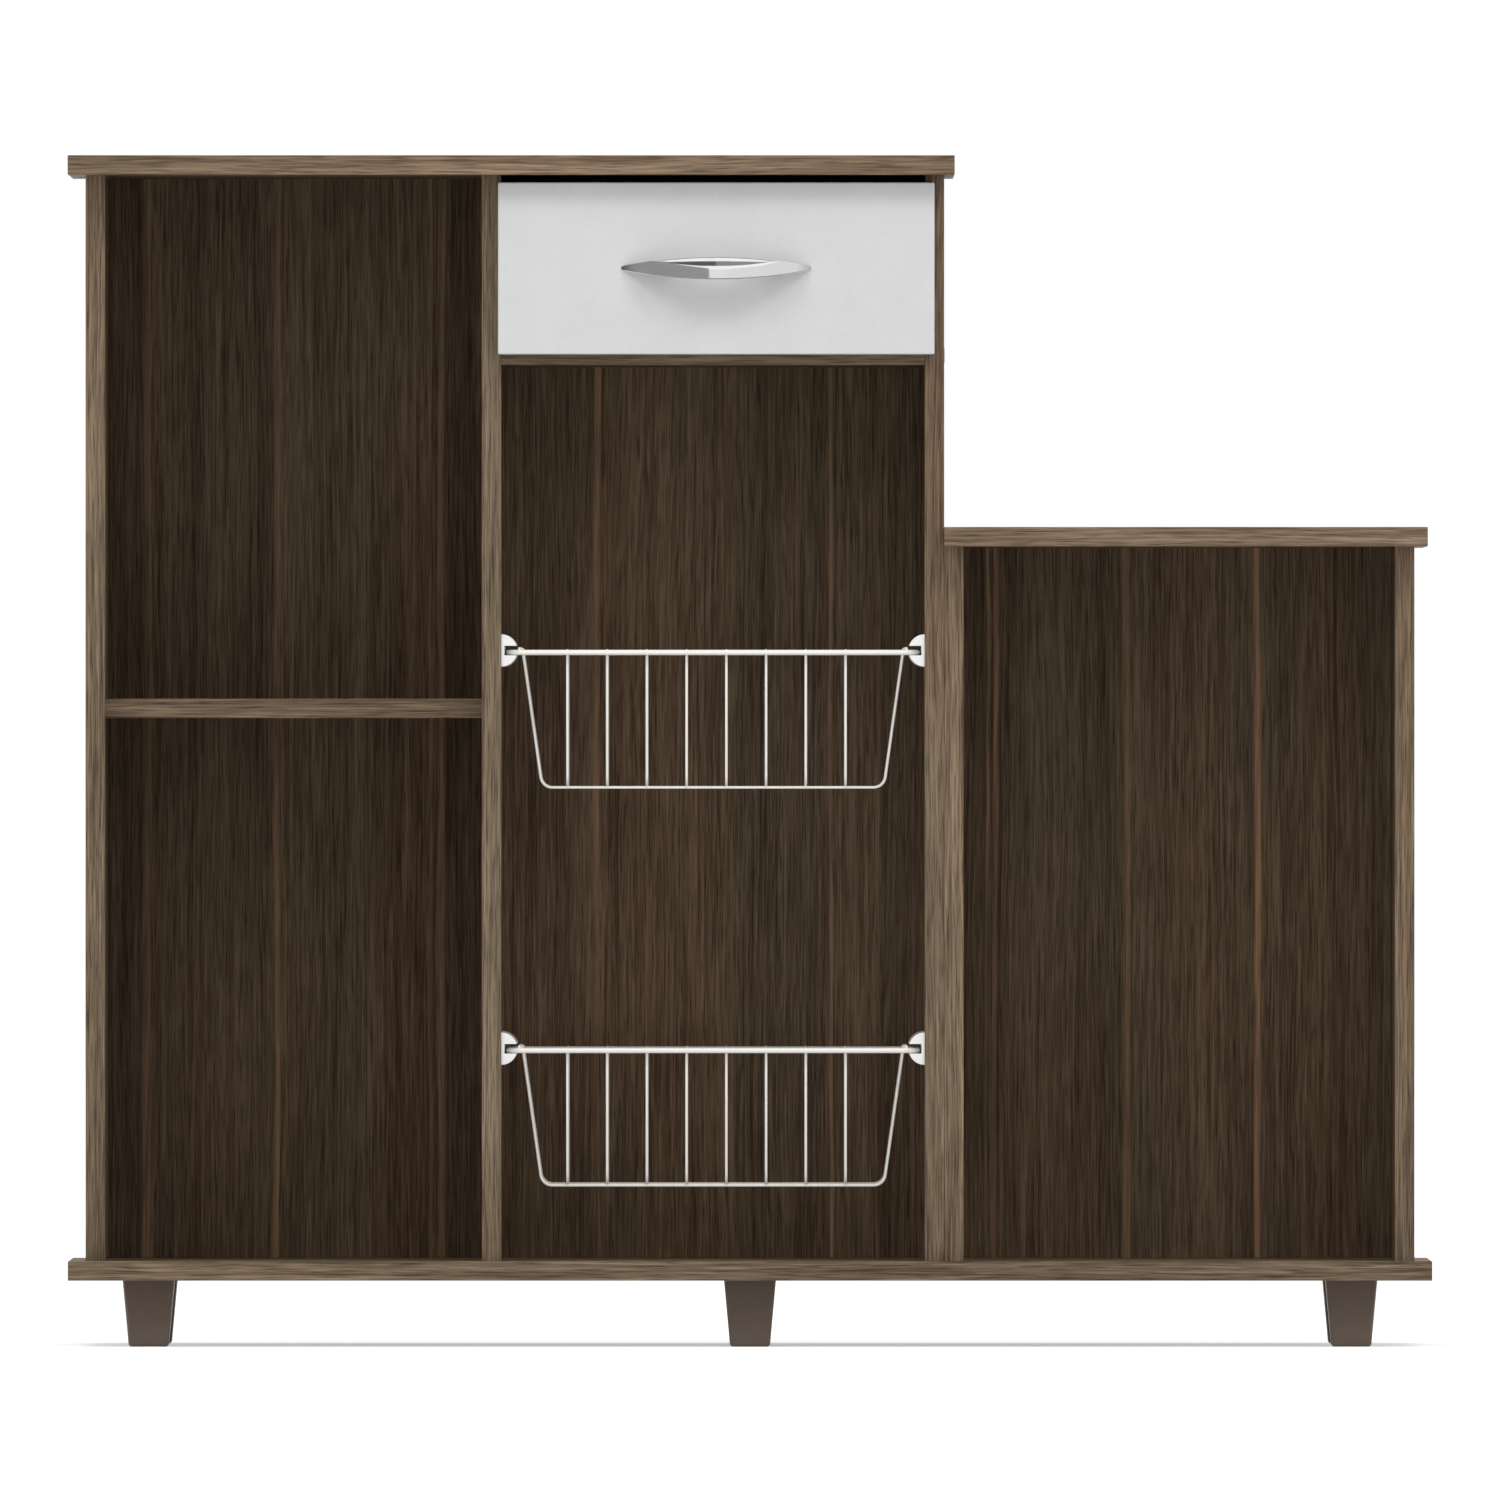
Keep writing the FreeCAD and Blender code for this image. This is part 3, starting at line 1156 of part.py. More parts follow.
def make_drawer(screw, cam, bolt):
    """Front, two sides, back and a thin bottom in grooves, with cams, bolts and screws."""
    groove_low = "dims.drawer_groove_height"
    groove_high = "places.drawer_back_foot"
    height = "dims.drawer_box_height"
    cam_rows = ("places.drawer_back_foot + dims.drawer_cam_inset", f"{height} - dims.drawer_cam_inset")
    front_size = ("places.drawer_front_width", "dims.drawer_front_thickness", "dims.drawer_front_height")
    front = Board("drawer_front", front_size,
                  ("places.drawer_front_x", "places.drawer_front_y", "places.drawer_front_z"))
    front.ease(ROUND_EDGES + ROUND_CORNERS, "dims.drawer_front_radius")
    box_left = "dims.drawer_left_lap + dims.runner_space"
    box_low = "places.box_z - places.drawer_front_z"
    side_lines = {"left": f"{box_left} + {HALF}", "right": f"{box_left} + places.box_width - {HALF}"}
    bolts = [(x, f"{box_low} + {z}") for x in side_lines.values() for z in cam_rows]
    front.drill("back", bolts, "dims.cam_bolt_diameter", "dims.cam_bolt_seat")
    grip_middle = "places.drawer_front_width / 2"
    grips = [(f"{grip_middle} {sign} dims.handle_screw_spacing / 2", "dims.drawer_front_height / 2")
             for sign in "-+"]
    front.drill("front", grips, "dims.handle_screw_diameter")
    groove_left = f"{box_left} + {THICK} - dims.drawer_groove_depth"
    groove_right = f"{groove_left} + places.box_inner_width + 2 * dims.drawer_groove_depth"
    front.slot("back", [(groove_left, f"{box_low} + {groove_low}"),
                        (groove_right, f"{box_low} + {groove_high}")], "dims.drawer_groove_depth")

    cams, cam_bolts, back_screws = [], [], []
    back_y = f"places.box_length - {HALF}"
    for side in ("left", "right"):
        x = "places.box_x" if side == "left" else f"places.box_x + places.box_width - {THICK}"
        inner, outer = ("right", "left") if side == "left" else ("left", "right")
        board = Board(f"drawer_{side}_side", (THICK, "places.box_length", height),
                      (x, "places.box_y", "places.box_z"))
        board.ease(["left_top", "right_top"])
        board.drill("front", [(HALF, z) for z in cam_rows], "dims.cam_bolt_bore", "dims.cam_distance")
        board.drill(inner, [("dims.cam_distance", z) for z in cam_rows],
                    "dims.cam_diameter", "dims.cam_length")
        start = f"{THICK} - dims.drawer_groove_depth" if side == "left" else "0"
        end = THICK if side == "left" else "dims.drawer_groove_depth"
        board.slot("front", [(start, groove_low), (end, groove_high)])
        board.sink(outer, [(back_y, z) for z in cam_rows])
        slide_spots = [(y, SLIDE_SCREW_HEIGHT) for y in SLIDE_SCREWS]
        board.drill(outer, slide_spots, "dims.runner_screw_diameter", "dims.runner_screw_grip")

        middle = f"{x} + {HALF}"
        inner_x, inward = (f"{x} + {THICK}", VEC(-1, 0, 0)) if side == "left" else (x, VEC(1, 0, 0))
        outer_x, turn = (x, TO_RIGHT) if side == "left" else (f"{x} + {THICK}", TO_LEFT)
        cam_turn = FreeCAD.Rotation(VEC(0, -1, 0), VEC(), inward, "ZXY")
        for z in cam_rows:
            level = f"places.box_z + {z}"
            cams.append((cam, (inner_x, "places.box_y + dims.cam_distance", level), cam_turn))
            bolt_y = "places.box_y + dims.cam_distance + dims.cam_bolt_overrun"
            cam_bolts.append((bolt, (middle, bolt_y, level), TO_FRONT))
            back_screws.append((screw, (outer_x, f"places.box_y + {back_y}", level), turn))
    group("drawer_cams", cams)
    group("drawer_cam_bolts", cam_bolts)
    group("drawer_back_screws", back_screws)

    back = Board("drawer_back", ("places.box_inner_width", THICK, f"{height} - {groove_high}"),
                 (f"places.box_x + {THICK}", f"places.box_y + places.box_length - {THICK}",
                  f"places.box_z + {groove_high}"))
    for end in ("left", "right"):
        spots = [(HALF, f"{z} - {groove_high}") for z in cam_rows]
        back.drill(end, spots, "dims.board_screw_diameter", SCREW_GRIP)

    play = "dims.drawer_groove_play"
    tongue = f"(dims.drawer_groove_depth - {play})"
    Board("drawer_bottom",
          (f"places.box_inner_width + 2 * {tongue}", f"places.box_length + {tongue}",
           "dims.drawer_bottom_thickness"),
          (f"places.box_x + {THICK} - {tongue}", f"places.box_y - {tongue}",
           f"places.box_z + {groove_low}"))


def make_handle():
    """A bow handle: a crescent in plan, a lens from the front, with a swelling facet along its top.

    Drawn standing off its foot plane along +Y, inside a margin, and turned to face the front.
    """
    margin, length, height = "dims.sketch_margin", "dims.handle_length", "dims.handle_height"
    reach, out = "dims.handle_reach", "dims.handle_projection"
    middle_x = f"{margin} + {length} / 2"
    middle_z = f"{margin} + {height} / 2"
    end_x = f"{margin} + {length}"
    top_z = f"{margin} + {height}"
    spot = (f"places.drawer_front_x + places.drawer_front_width / 2 + {middle_x}",
            "places.drawer_front_y",
            f"places.drawer_front_z + dims.drawer_front_height / 2 - ({middle_z})")
    body = keep(new_body("drawer_handle", *spot, HALF_TURN_Z), "drawer_handle")

    plan = new_sketch(body, "XY_Plane", margin)
    inner_start, inner_end = f"{margin} + dims.handle_foot", f"{end_x} - dims.handle_foot"
    bow(plan, (end_x, "0"), (middle_x, out), (margin, "0"))
    segment(plan, (margin, "0"), (inner_start, "0"))
    bow(plan, (inner_start, "0"), (middle_x, reach), (inner_end, "0"))
    segment(plan, (inner_end, "0"), (end_x, "0"))
    pad(body, plan, height)

    lens = new_sketch(body, "XZ_Plane")
    rectangle(lens, "0", "0", f"{end_x} + {margin}", f"{top_z} + {margin}")
    tip_low, tip_high = f"{middle_z} - dims.handle_tip / 2", f"{middle_z} + dims.handle_tip / 2"
    bow(lens, (margin, tip_low), (middle_x, margin), (end_x, tip_low))
    segment(lens, (end_x, tip_low), (end_x, tip_high))
    bow(lens, (end_x, tip_high), (middle_x, top_z), (margin, tip_high))
    segment(lens, (margin, tip_high), (margin, tip_low))
    pocket(body, lens, None)

    facet = new_sketch(body, "YZ_Plane")
    depth, swell = "dims.handle_facet_depth", "dims.handle_facet_bulge / places.facet_run"
    crease, back_edge = (out, middle_z), (f"{out} - {depth}", top_z)
    crown = (f"{out} - {depth} / 2 + {swell} * {height} / 2",
             f"{middle_z} + {height} / 4 + {swell} * {depth}")
    waste = [back_edge, (back_edge[0], f"{top_z} + {margin}"), (f"{out} + {margin}", f"{top_z} + {margin}"),
             (f"{out} + {margin}", middle_z), crease]
    bow(facet, crease, crown, back_edge)
    for start, end in zip(waste, waste[1:]):
        segment(facet, start, end)
    pocket(body, facet, None, reverse=True)
    fillet(body, lambda edge: edge.BoundBox.YMax > value(reach) / 2, "dims.handle_edge_radius")

    holes = new_sketch(body, "XZ_Plane")
    spots = [(f"{middle_x} {sign} dims.handle_screw_spacing / 2", middle_z) for sign in "-+"]
    circles(holes, spots, "dims.handle_screw_diameter + dims.hole_clearance")
    pocket(body, holes, "dims.handle_screw_grip + dims.hole_end_gap")

    head = "dims.handle_screw_head_height"
    screw = make_screw("handle_screw_master", "dims.handle_screw_head", head,
                       "dims.handle_screw_diameter",
                       f"{head} + dims.drawer_front_thickness + dims.handle_screw_grip", sunk=False)
    centre_x = "places.drawer_front_x + places.drawer_front_width / 2"
    centre_z = "places.drawer_front_z + dims.drawer_front_height / 2"
    screws = [(screw, (f"{centre_x} {sign} dims.handle_screw_spacing / 2",
                       f"places.box_y + {head}", centre_z), TO_FRONT) for sign in "-+"]
    group("handle_screws", screws)


def make_rim(level):
    """The heavy closed rim of a basket; its side runs lie in the guide slots."""
    label = f"{level}_basket_rim"
    spot = ("places.centre_bay_x", "places.guide_y", f"places.{level}_basket_z")
    body = keep(new_body(label, *spot), label)
    left, front = "dims.rim_side_gap + places.rim_radius", "dims.rim_front_inset + places.rim_radius"
    right = f"dims.centre_bay_width - ({left})"
    rear = "dims.rim_front_inset + places.rim_length - places.rim_radius"
    path = new_sketch(body, "XY_Plane", "places.rail_height")
    rounded_path(path, [(left, front), (right, front), (right, rear), (left, rear)],
                 "dims.rim_corner_radius", closed=True)
    wire(body, path, "dims.rim_wire")


def make_cross_wire():
    """A thin wire bent to a tapered U across the basket, hung from the two side bars."""
    body = new_body("cross_wire_master")
    path = new_sketch(body, "XZ_Plane")
    top, bottom = "places.bar_height + places.thin_radius / 2", "places.thin_radius"
    foot = "places.cross_top_x + dims.basket_taper"
    across = "dims.centre_bay_width"
    rounded_path(path, [
        ("places.cross_top_x", top), (foot, bottom), (f"{across} - ({foot})", bottom),
        (f"{across} - places.cross_top_x", top)], "dims.basket_bend_radius")
    wire(body, path, "dims.thin_wire")
    return body


def make_long_wire():
    """A thin wire bent to a tapered U from the front rail, along the floor, to the rear rail."""
    body = new_body("long_wire_master")
    path = new_sketch(body, "YZ_Plane")
    bottom = "places.long_bottom_height"
    foot = "places.long_top_y + dims.basket_taper"
    whole = "2 * places.basket_middle_y"
    rounded_path(path, [
        ("places.long_top_y", "places.wire_top"), (foot, bottom), (f"{whole} - ({foot})", bottom),
        (f"{whole} - places.long_top_y", "places.wire_top")], "dims.basket_bend_radius")
    wire(body, path, "dims.thin_wire")
    return body


def make_baskets():
    cross, long_wire = make_cross_wire(), make_long_wire()
    bar = doc.addObject("Part::Cylinder", "side_bar_master")
    bar.setExpression("Radius", "places.thin_radius")
    bar.setExpression("Height", "places.rim_length - dims.rim_wire + 2 * dims.side_bar_overhang")
    for level in GUIDE_HEIGHTS:
        make_rim(level)
        x, y, z = "places.centre_bay_x", "places.guide_y", f"places.{level}_basket_z"
        wires = []
        for i in range(CROSS_WIRES):
            step = f"({i} / ({CROSS_WIRES} - 1) - 1 / 2) * places.cross_wires_length"
            wires.append((cross, (x, f"{y} + places.basket_middle_y + {step}", z), UP))
        for i in range(LONG_WIRES):
            step = f"({i} / ({LONG_WIRES} - 1) - 1 / 2) * places.long_wires_width"
            across = f"{x} + dims.centre_bay_width / 2 + {step} - dims.long_wire_offset"
            wires.append((long_wire, (across, y, z), UP))
        start = f"{y} + dims.rim_front_inset + places.rim_radius - dims.side_bar_overhang"
        for across in ("places.side_bar_inset", "dims.centre_bay_width - places.side_bar_inset"):
            wires.append((bar, (f"{x} + {across}", start, f"{z} + places.bar_height"), TO_BACK))
        group(f"{level}_basket_wires", wires)


def build():
    make_base()
    make_uprights()
    make_tops()
    make_shelf("left_shelf", "places.left_bay_x", "dims.left_bay_width",
               "places.floor_z + dims.shelf_height", "dims.shelf_setback")
    make_shelf("drawer_deck", "places.centre_bay_x", "dims.centre_bay_width", "places.deck_z", "0")
    make_backs()
    make_feet()
    make_guides()
    make_slides()
    screw, cam, bolt = make_board_fasteners()
    make_drawer(screw, cam, bolt)
    make_handle()
    make_baskets()
    doc.recompute()


def write_parts():
    """Check every object, then write each sub-part to its own file."""
    for item in doc.Objects:
        if "Invalid" in item.State or "Error" in item.State:
            raise RuntimeError(f"{item.Label} did not build: {item.State}")
    os.makedirs("parts", exist_ok=True)
    for item in sub_parts:
        shape = item.Shape
        if shape.isNull() or not shape.isValid() or not shape.Solids:
            raise RuntimeError(f"{item.Label} has no valid solid")
        shape.exportStep(f"parts/{item.Label}.step")
    print(f"{len(sub_parts)} sub-parts written")


build()
write_parts()
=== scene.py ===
"""Looks of an open kitchen unit: printed wood boards, a white drawer with a bright bow handle, and
two white wire baskets that run in slotted guides. Metres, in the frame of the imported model.
"""
import json
import math

import bmesh
import bpy
import numpy as np
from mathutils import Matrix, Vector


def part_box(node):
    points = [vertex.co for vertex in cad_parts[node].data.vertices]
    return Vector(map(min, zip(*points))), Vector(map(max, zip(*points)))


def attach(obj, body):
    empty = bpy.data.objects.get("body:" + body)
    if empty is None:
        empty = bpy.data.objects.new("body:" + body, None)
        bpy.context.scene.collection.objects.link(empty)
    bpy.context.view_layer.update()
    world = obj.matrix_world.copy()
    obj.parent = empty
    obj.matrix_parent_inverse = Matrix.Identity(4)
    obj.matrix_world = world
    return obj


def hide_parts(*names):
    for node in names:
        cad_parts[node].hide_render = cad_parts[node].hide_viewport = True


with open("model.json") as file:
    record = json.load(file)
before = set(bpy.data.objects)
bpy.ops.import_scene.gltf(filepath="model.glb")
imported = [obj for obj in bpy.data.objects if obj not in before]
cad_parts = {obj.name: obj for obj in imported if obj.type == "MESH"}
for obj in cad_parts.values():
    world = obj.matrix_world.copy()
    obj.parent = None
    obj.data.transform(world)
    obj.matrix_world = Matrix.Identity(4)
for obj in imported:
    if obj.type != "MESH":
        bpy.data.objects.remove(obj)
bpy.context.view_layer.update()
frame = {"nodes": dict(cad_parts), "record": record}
nodes = frame["nodes"]

MM = 0.001
X, Y, Z = 0, 1, 2
WHITE = (1, 1, 1, 1)
SAME_POINT = 0.001 * MM  # points nearer than this are one
TINY = 1e-12  # stands in for a length of nothing where it divides

# Photograph: a square picture taken straight from the front, far away
PHOTO_PIXELS = 1500
METRES_PER_PIXEL = 0.7698 * MM
FLOOR_ROW = 1346.8  # where the feet stand, in pixels from the top
CAMERA_LENS = 1600.0
CAMERA_SENSOR = 36.0
CAMERA_REACH = 150.0  # how far it sees

# Studio
SKY_LIGHT = 0.78  # strength of the sky where it isn't seen
LAMP_SIZE = 0.8
LAMP_WATTS = 18.0
LAMP_TARGET = (0, 0, 0.6)
LAMPS = {"left_lamp": (-1.3, -1.7, 2.9), "right_lamp": (1.2, -1.7, 2.9)}
FLOOR_REACH = 45.0
FLOOR_PAINT = 0.9
FLOOR_ROUGHNESS = 0.9
FLOOR_LIFT = 0.45  # light of its own, for the camera and reflections alone
# Cards that only bright metal sees. A standing card: its paint at the far end and further in, and
# its far and near ends, each with its place on the ground and its height
STANDING_CARDS = {
    "left_card": (0.10, 0.36, (-3.0, -0.3, 8.0), (-0.23, -2.2, 2.1)),
    "right_card": (0.55, 0.96, (3.0, -0.3, 1.3), (-0.23, -2.2, 1.3)),
}
CARD_FADE = 0.1, 0.33  # between these shares of the way in, one paint goes over into the other
# A flat card: its paint, X and Y ranges, and height
FLAT_CARDS = {
    "left_flag": (0.13, (-1.0, -0.027), (-0.675, -0.408), 2.0),
    "right_flag": (0.36, (-0.027, 1.0), (-0.675, -0.408), 2.0),
    "low_flag": (0.36, (-4.0, 4.0), (-8.0, -0.2), 0.005),
}

# Wire baskets
RIM_WIRE = 4 * MM
RIM_SIDES = 20
RIM_CORNER = 9 * MM
RIM_CORNER_STEPS = 14
THIN_WIRE = 2 * MM
THIN_SIDES = 14
WIRE_BEND = 9 * MM
WIRE_BEND_STEPS = 8
WIRE_END_DOME = (0, 25, 50, 72)  # latitudes of the rings that round a wire's end, in degrees
WIRE_STUB = 0.5 * MM  # how far a long wire's end stands over the rim
BASKET_TAPER = 15.2 * MM  # how far the wires draw in on their way down
LONG_WIRES = 8
LONG_PITCH = 30.6 * MM
LONG_SHIFT = -5 * MM  # off the middle of the bay
CROSS_WIRES = 8
CROSS_MARGIN = 35 * MM  # from the rim's front and rear to the nearest wire
SIDE_BAR_INSET = 14 * MM
SIDE_BAR_OVERHANG = 1 * MM
WELD_GAP = 0.05 * MM  # between wires that a bead joins
# Weld beads by their half sizes along X, Y and Z
FLOOR_WELD = (1.2 * MM, 1.2 * MM, 0.7 * MM)  # a long wire on a cross wire
RIM_WELD = (1.5 * MM, 0.9 * MM, 1.3 * MM)  # a long wire's end at the rim
BAR_WELD = (0.8 * MM, 1.3 * MM, 1.1 * MM)  # a cross wire's end at a side bar
SEAT_WELD = (1.4 * MM, 1.4 * MM, 0.8 * MM)  # a side bar on the rim
WELD_RINGS = 5
WELD_SIDES = 8
WELD_POLE = 1.35  # latitude of the rings next to the poles, in radians

# Bow handle
HANDLE_REACH = 18 * MM  # how far the inner bow stands off the drawer front
HANDLE_GRIP = 84 * MM  # how wide the inner bow is
HANDLE_TIP = 3.2 * MM  # how high the tips are
HANDLE_TIP_ROUND = 3 * MM
HANDLE_FACET_DEPTH = 7 * MM
HANDLE_FACET_SWELL = 0.3 * MM
HANDLE_FACET_BOW = 0.65  # the share of the outer bow that the facet follows
HANDLE_EDGE = 1.5 * MM  # from a corner to where its rounding starts
HANDLE_EDGE_SHARE = 0.4  # the most that one rounding takes of a side
HANDLE_LEAST_DEPTH = 0.3 * MM
HANDLE_LEAST_BLUNT = 0.05
HANDLE_SPAN = 0.999  # the share of the length that its sections cover
HANDLE_SECTIONS = 121
HANDLE_SIDE_POINTS = 9
HANDLE_ROUND_POINTS = 6

# Edges that turn by more than this, in degrees, stay sharp
WIRE_CREASE = 40
HANDLE_CREASE = 60


def paint(red, green, blue):
    """A colour given as a picture's 0 to 255 values, as linear light by the sRGB curve."""
    return tuple(((c / 255 + 0.055) / 1.055) ** 2.4 for c in (red, green, blue))


# Shapes: a shape is an array of points and a list of face arrays


def grid_quads(rows, columns, wrap_rows=False):
    """Quads between the neighbours of a grid of points whose columns join up all the way round."""
    starts = np.arange(rows if wrap_rows else rows - 1)
    row, column = np.meshgrid(starts, np.arange(columns), indexing="ij")
    below, beside = (row + 1) % rows, (column + 1) % columns
    corners = (row, column), (row, beside), (below, beside), (below, column)
    return np.stack([r * columns + c for r, c in corners], axis=-1).reshape(-1, 4)


def closed_grid(rings):
    """A closed skin over a stack of rings (rows, columns, 3), with a flat face at either end."""
    rows, columns = rings.shape[:2]
    ends = np.stack([np.arange(columns)[::-1], np.arange(columns) + (rows - 1) * columns])
    return rings.reshape(-1, 3), [grid_quads(rows, columns), ends]


def repeated(shape, offsets):
    """One shape copied to many places: its points plus each offset, its faces renumbered."""
    points, faces = shape
    offsets = np.asarray(offsets, float)
    starts = np.arange(len(offsets))[:, None, None] * len(points)
    copies = (points[None] + offsets[:, None]).reshape(-1, 3)
    return copies, [(face[None] + starts).reshape(-1, face.shape[1]) for face in faces]


def joined(*shapes):
    """Several shapes as one, points stacked and faces renumbered."""
    starts = np.cumsum([0] + [len(points) for points, _ in shapes])
    faces = [face + start for (_, own), start in zip(shapes, starts) for face in own]
    return np.concatenate([points for points, _ in shapes]), faces


def unit(vectors):
    """Each vector divided by its own length."""
    return vectors / np.maximum(np.linalg.norm(vectors, axis=-1, keepdims=True), TINY)


def bent_path(corners, radius, steps, closed=False):
    """Straight runs joined by arcs. At a corner of inner angle 2h the arc leaves its runs
    radius / tan h from the corner and turns through pi - 2h about a centre radius / sin h along the
    bisector."""
    corners = np.asarray(corners, float)
    behind = unit(np.roll(corners, 1, axis=0) - corners)
    ahead = unit(np.roll(corners, -1, axis=0) - corners)
    half = np.arccos(np.clip((behind * ahead).sum(-1, keepdims=True), -1, 1)) / 2
    start = corners + behind * radius / np.tan(half)
    centre = corners + unit(behind + ahead) * radius / np.sin(half)
    turn = np.linspace(0, 1, steps + 1)[None, :, None] * (math.pi - 2 * half)[:, None]
    arcs = centre[:, None] + np.cos(turn) * (start - centre)[:, None]
    arcs = arcs - np.sin(turn) * radius * behind[:, None]
    if closed:
        return arcs.reshape(-1, 3)
    return np.concatenate([corners[:1], arcs[1:-1].reshape(-1, 3), corners[-1:]])


def tube(path, normal, radius, sides, closed=False):
    """A round wire along a path in one plane: at each point a circle of the radius in the plane's
    normal and the path's sideways direction. Open ends round over as half a ball that stops at the
    path's end."""
    if closed:
        run = unit(np.roll(path, -1, axis=0) - np.roll(path, 1, axis=0))
        radii = np.full(len(path), radius)
    else:
        run = unit(np.gradient(path, axis=0))
        dome = np.radians(WIRE_END_DOME)
        sunk, shrunk = radius * (1 - np.sin(dome))[:, None], radius * np.cos(dome)
        first, last = (path[0] + run[0] * sunk)[::-1], path[-1] - run[-1] * sunk
        between = len(path) - 2
        path = np.concatenate([first, path[1:-1], last])
        radii = np.concatenate([shrunk[::-1], np.full(between, radius), shrunk])
        run = np.repeat(run, [len(dome)] + [1] * between + [len(dome)], axis=0)
    angle = np.linspace(0, 2 * math.pi, sides, endpoint=False)[None, :, None]
    normal = np.asarray(normal, float)
    sideways = np.cross(run, normal)[:, None]
    circles = np.cos(angle) * normal + np.sin(angle) * sideways
    rings = path[:, None] + radii[:, None, None] * circles
    if closed:
        return rings.reshape(-1, 3), [grid_quads(len(path), sides, wrap_rows=True)]
    return closed_grid(rings)


def bead(size):
    """A blob of weld: an ellipsoid of half sizes (x, y, z) by latitude and longitude, its poles cut
    flat."""
    latitude = np.linspace(-WELD_POLE, WELD_POLE, WELD_RINGS)[:, None]
    longitude = np.linspace(0, 2 * math.pi, WELD_SIDES, endpoint=False)[None]
    ball = (np.cos(latitude) * np.cos(longitude), np.cos(latitude) * np.sin(longitude),
            np.sin(latitude) + 0 * longitude)
    return closed_grid(np.stack(ball, axis=-1) * np.asarray(size))


def piece(name, shape, body, finish, stands_for=(), crease=WIRE_CREASE):
    """A mesh object from whole arrays, smooth but for edges sharper than the crease, riding on a
    body. Points that fall together are made one."""
    points, faces = shape
    mesh = bpy.data.meshes.new(name)
    corners = np.concatenate([face.ravel() for face in faces])
    counts = np.concatenate([np.full(len(face), face.shape[1]) for face in faces])
    mesh.vertices.add(len(points))
    mesh.vertices.foreach_set("co", points.astype(np.float32).ravel())
    mesh.loops.add(len(corners))
    mesh.loops.foreach_set("vertex_index", corners.astype(np.int32))
    mesh.polygons.add(len(counts))
    mesh.polygons.foreach_set("loop_start", (np.cumsum(counts) - counts).astype(np.int32))
    mesh.update(calc_edges=True)
    mesh.validate()
    skin = bmesh.new()
    skin.from_mesh(mesh)
    bmesh.ops.remove_doubles(skin, verts=skin.verts, dist=SAME_POINT)
    skin.to_mesh(mesh)
    skin.free()
    mesh.shade_smooth()
    mesh.set_sharp_from_angle(angle=math.radians(crease))
    mesh.materials.append(finish)
    thing = bpy.data.objects.new(name, mesh)
    bpy.context.scene.collection.objects.link(thing)
    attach(thing, body)
    if stands_for:
        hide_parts(*stands_for)


# Finishes

NOISE_MIDDLE = 0.5
NOISE_TURN = (0.6, 0.4, 0.9)  # radians about X, Y and Z
SEED_STEPS = (1.0, 1.7, 2.3)
FACES_END = 0.7  # a face looks along X if its normal has more than this of X
# Sockets of Blender's Mix node by number, because their names repeat
MIX_AMOUNT = 0
MIX_VECTORS, MIX_VECTOR_OUT = (4, 5), 1
MIX_COLOURS, MIX_COLOUR_OUT = (6, 7), 2


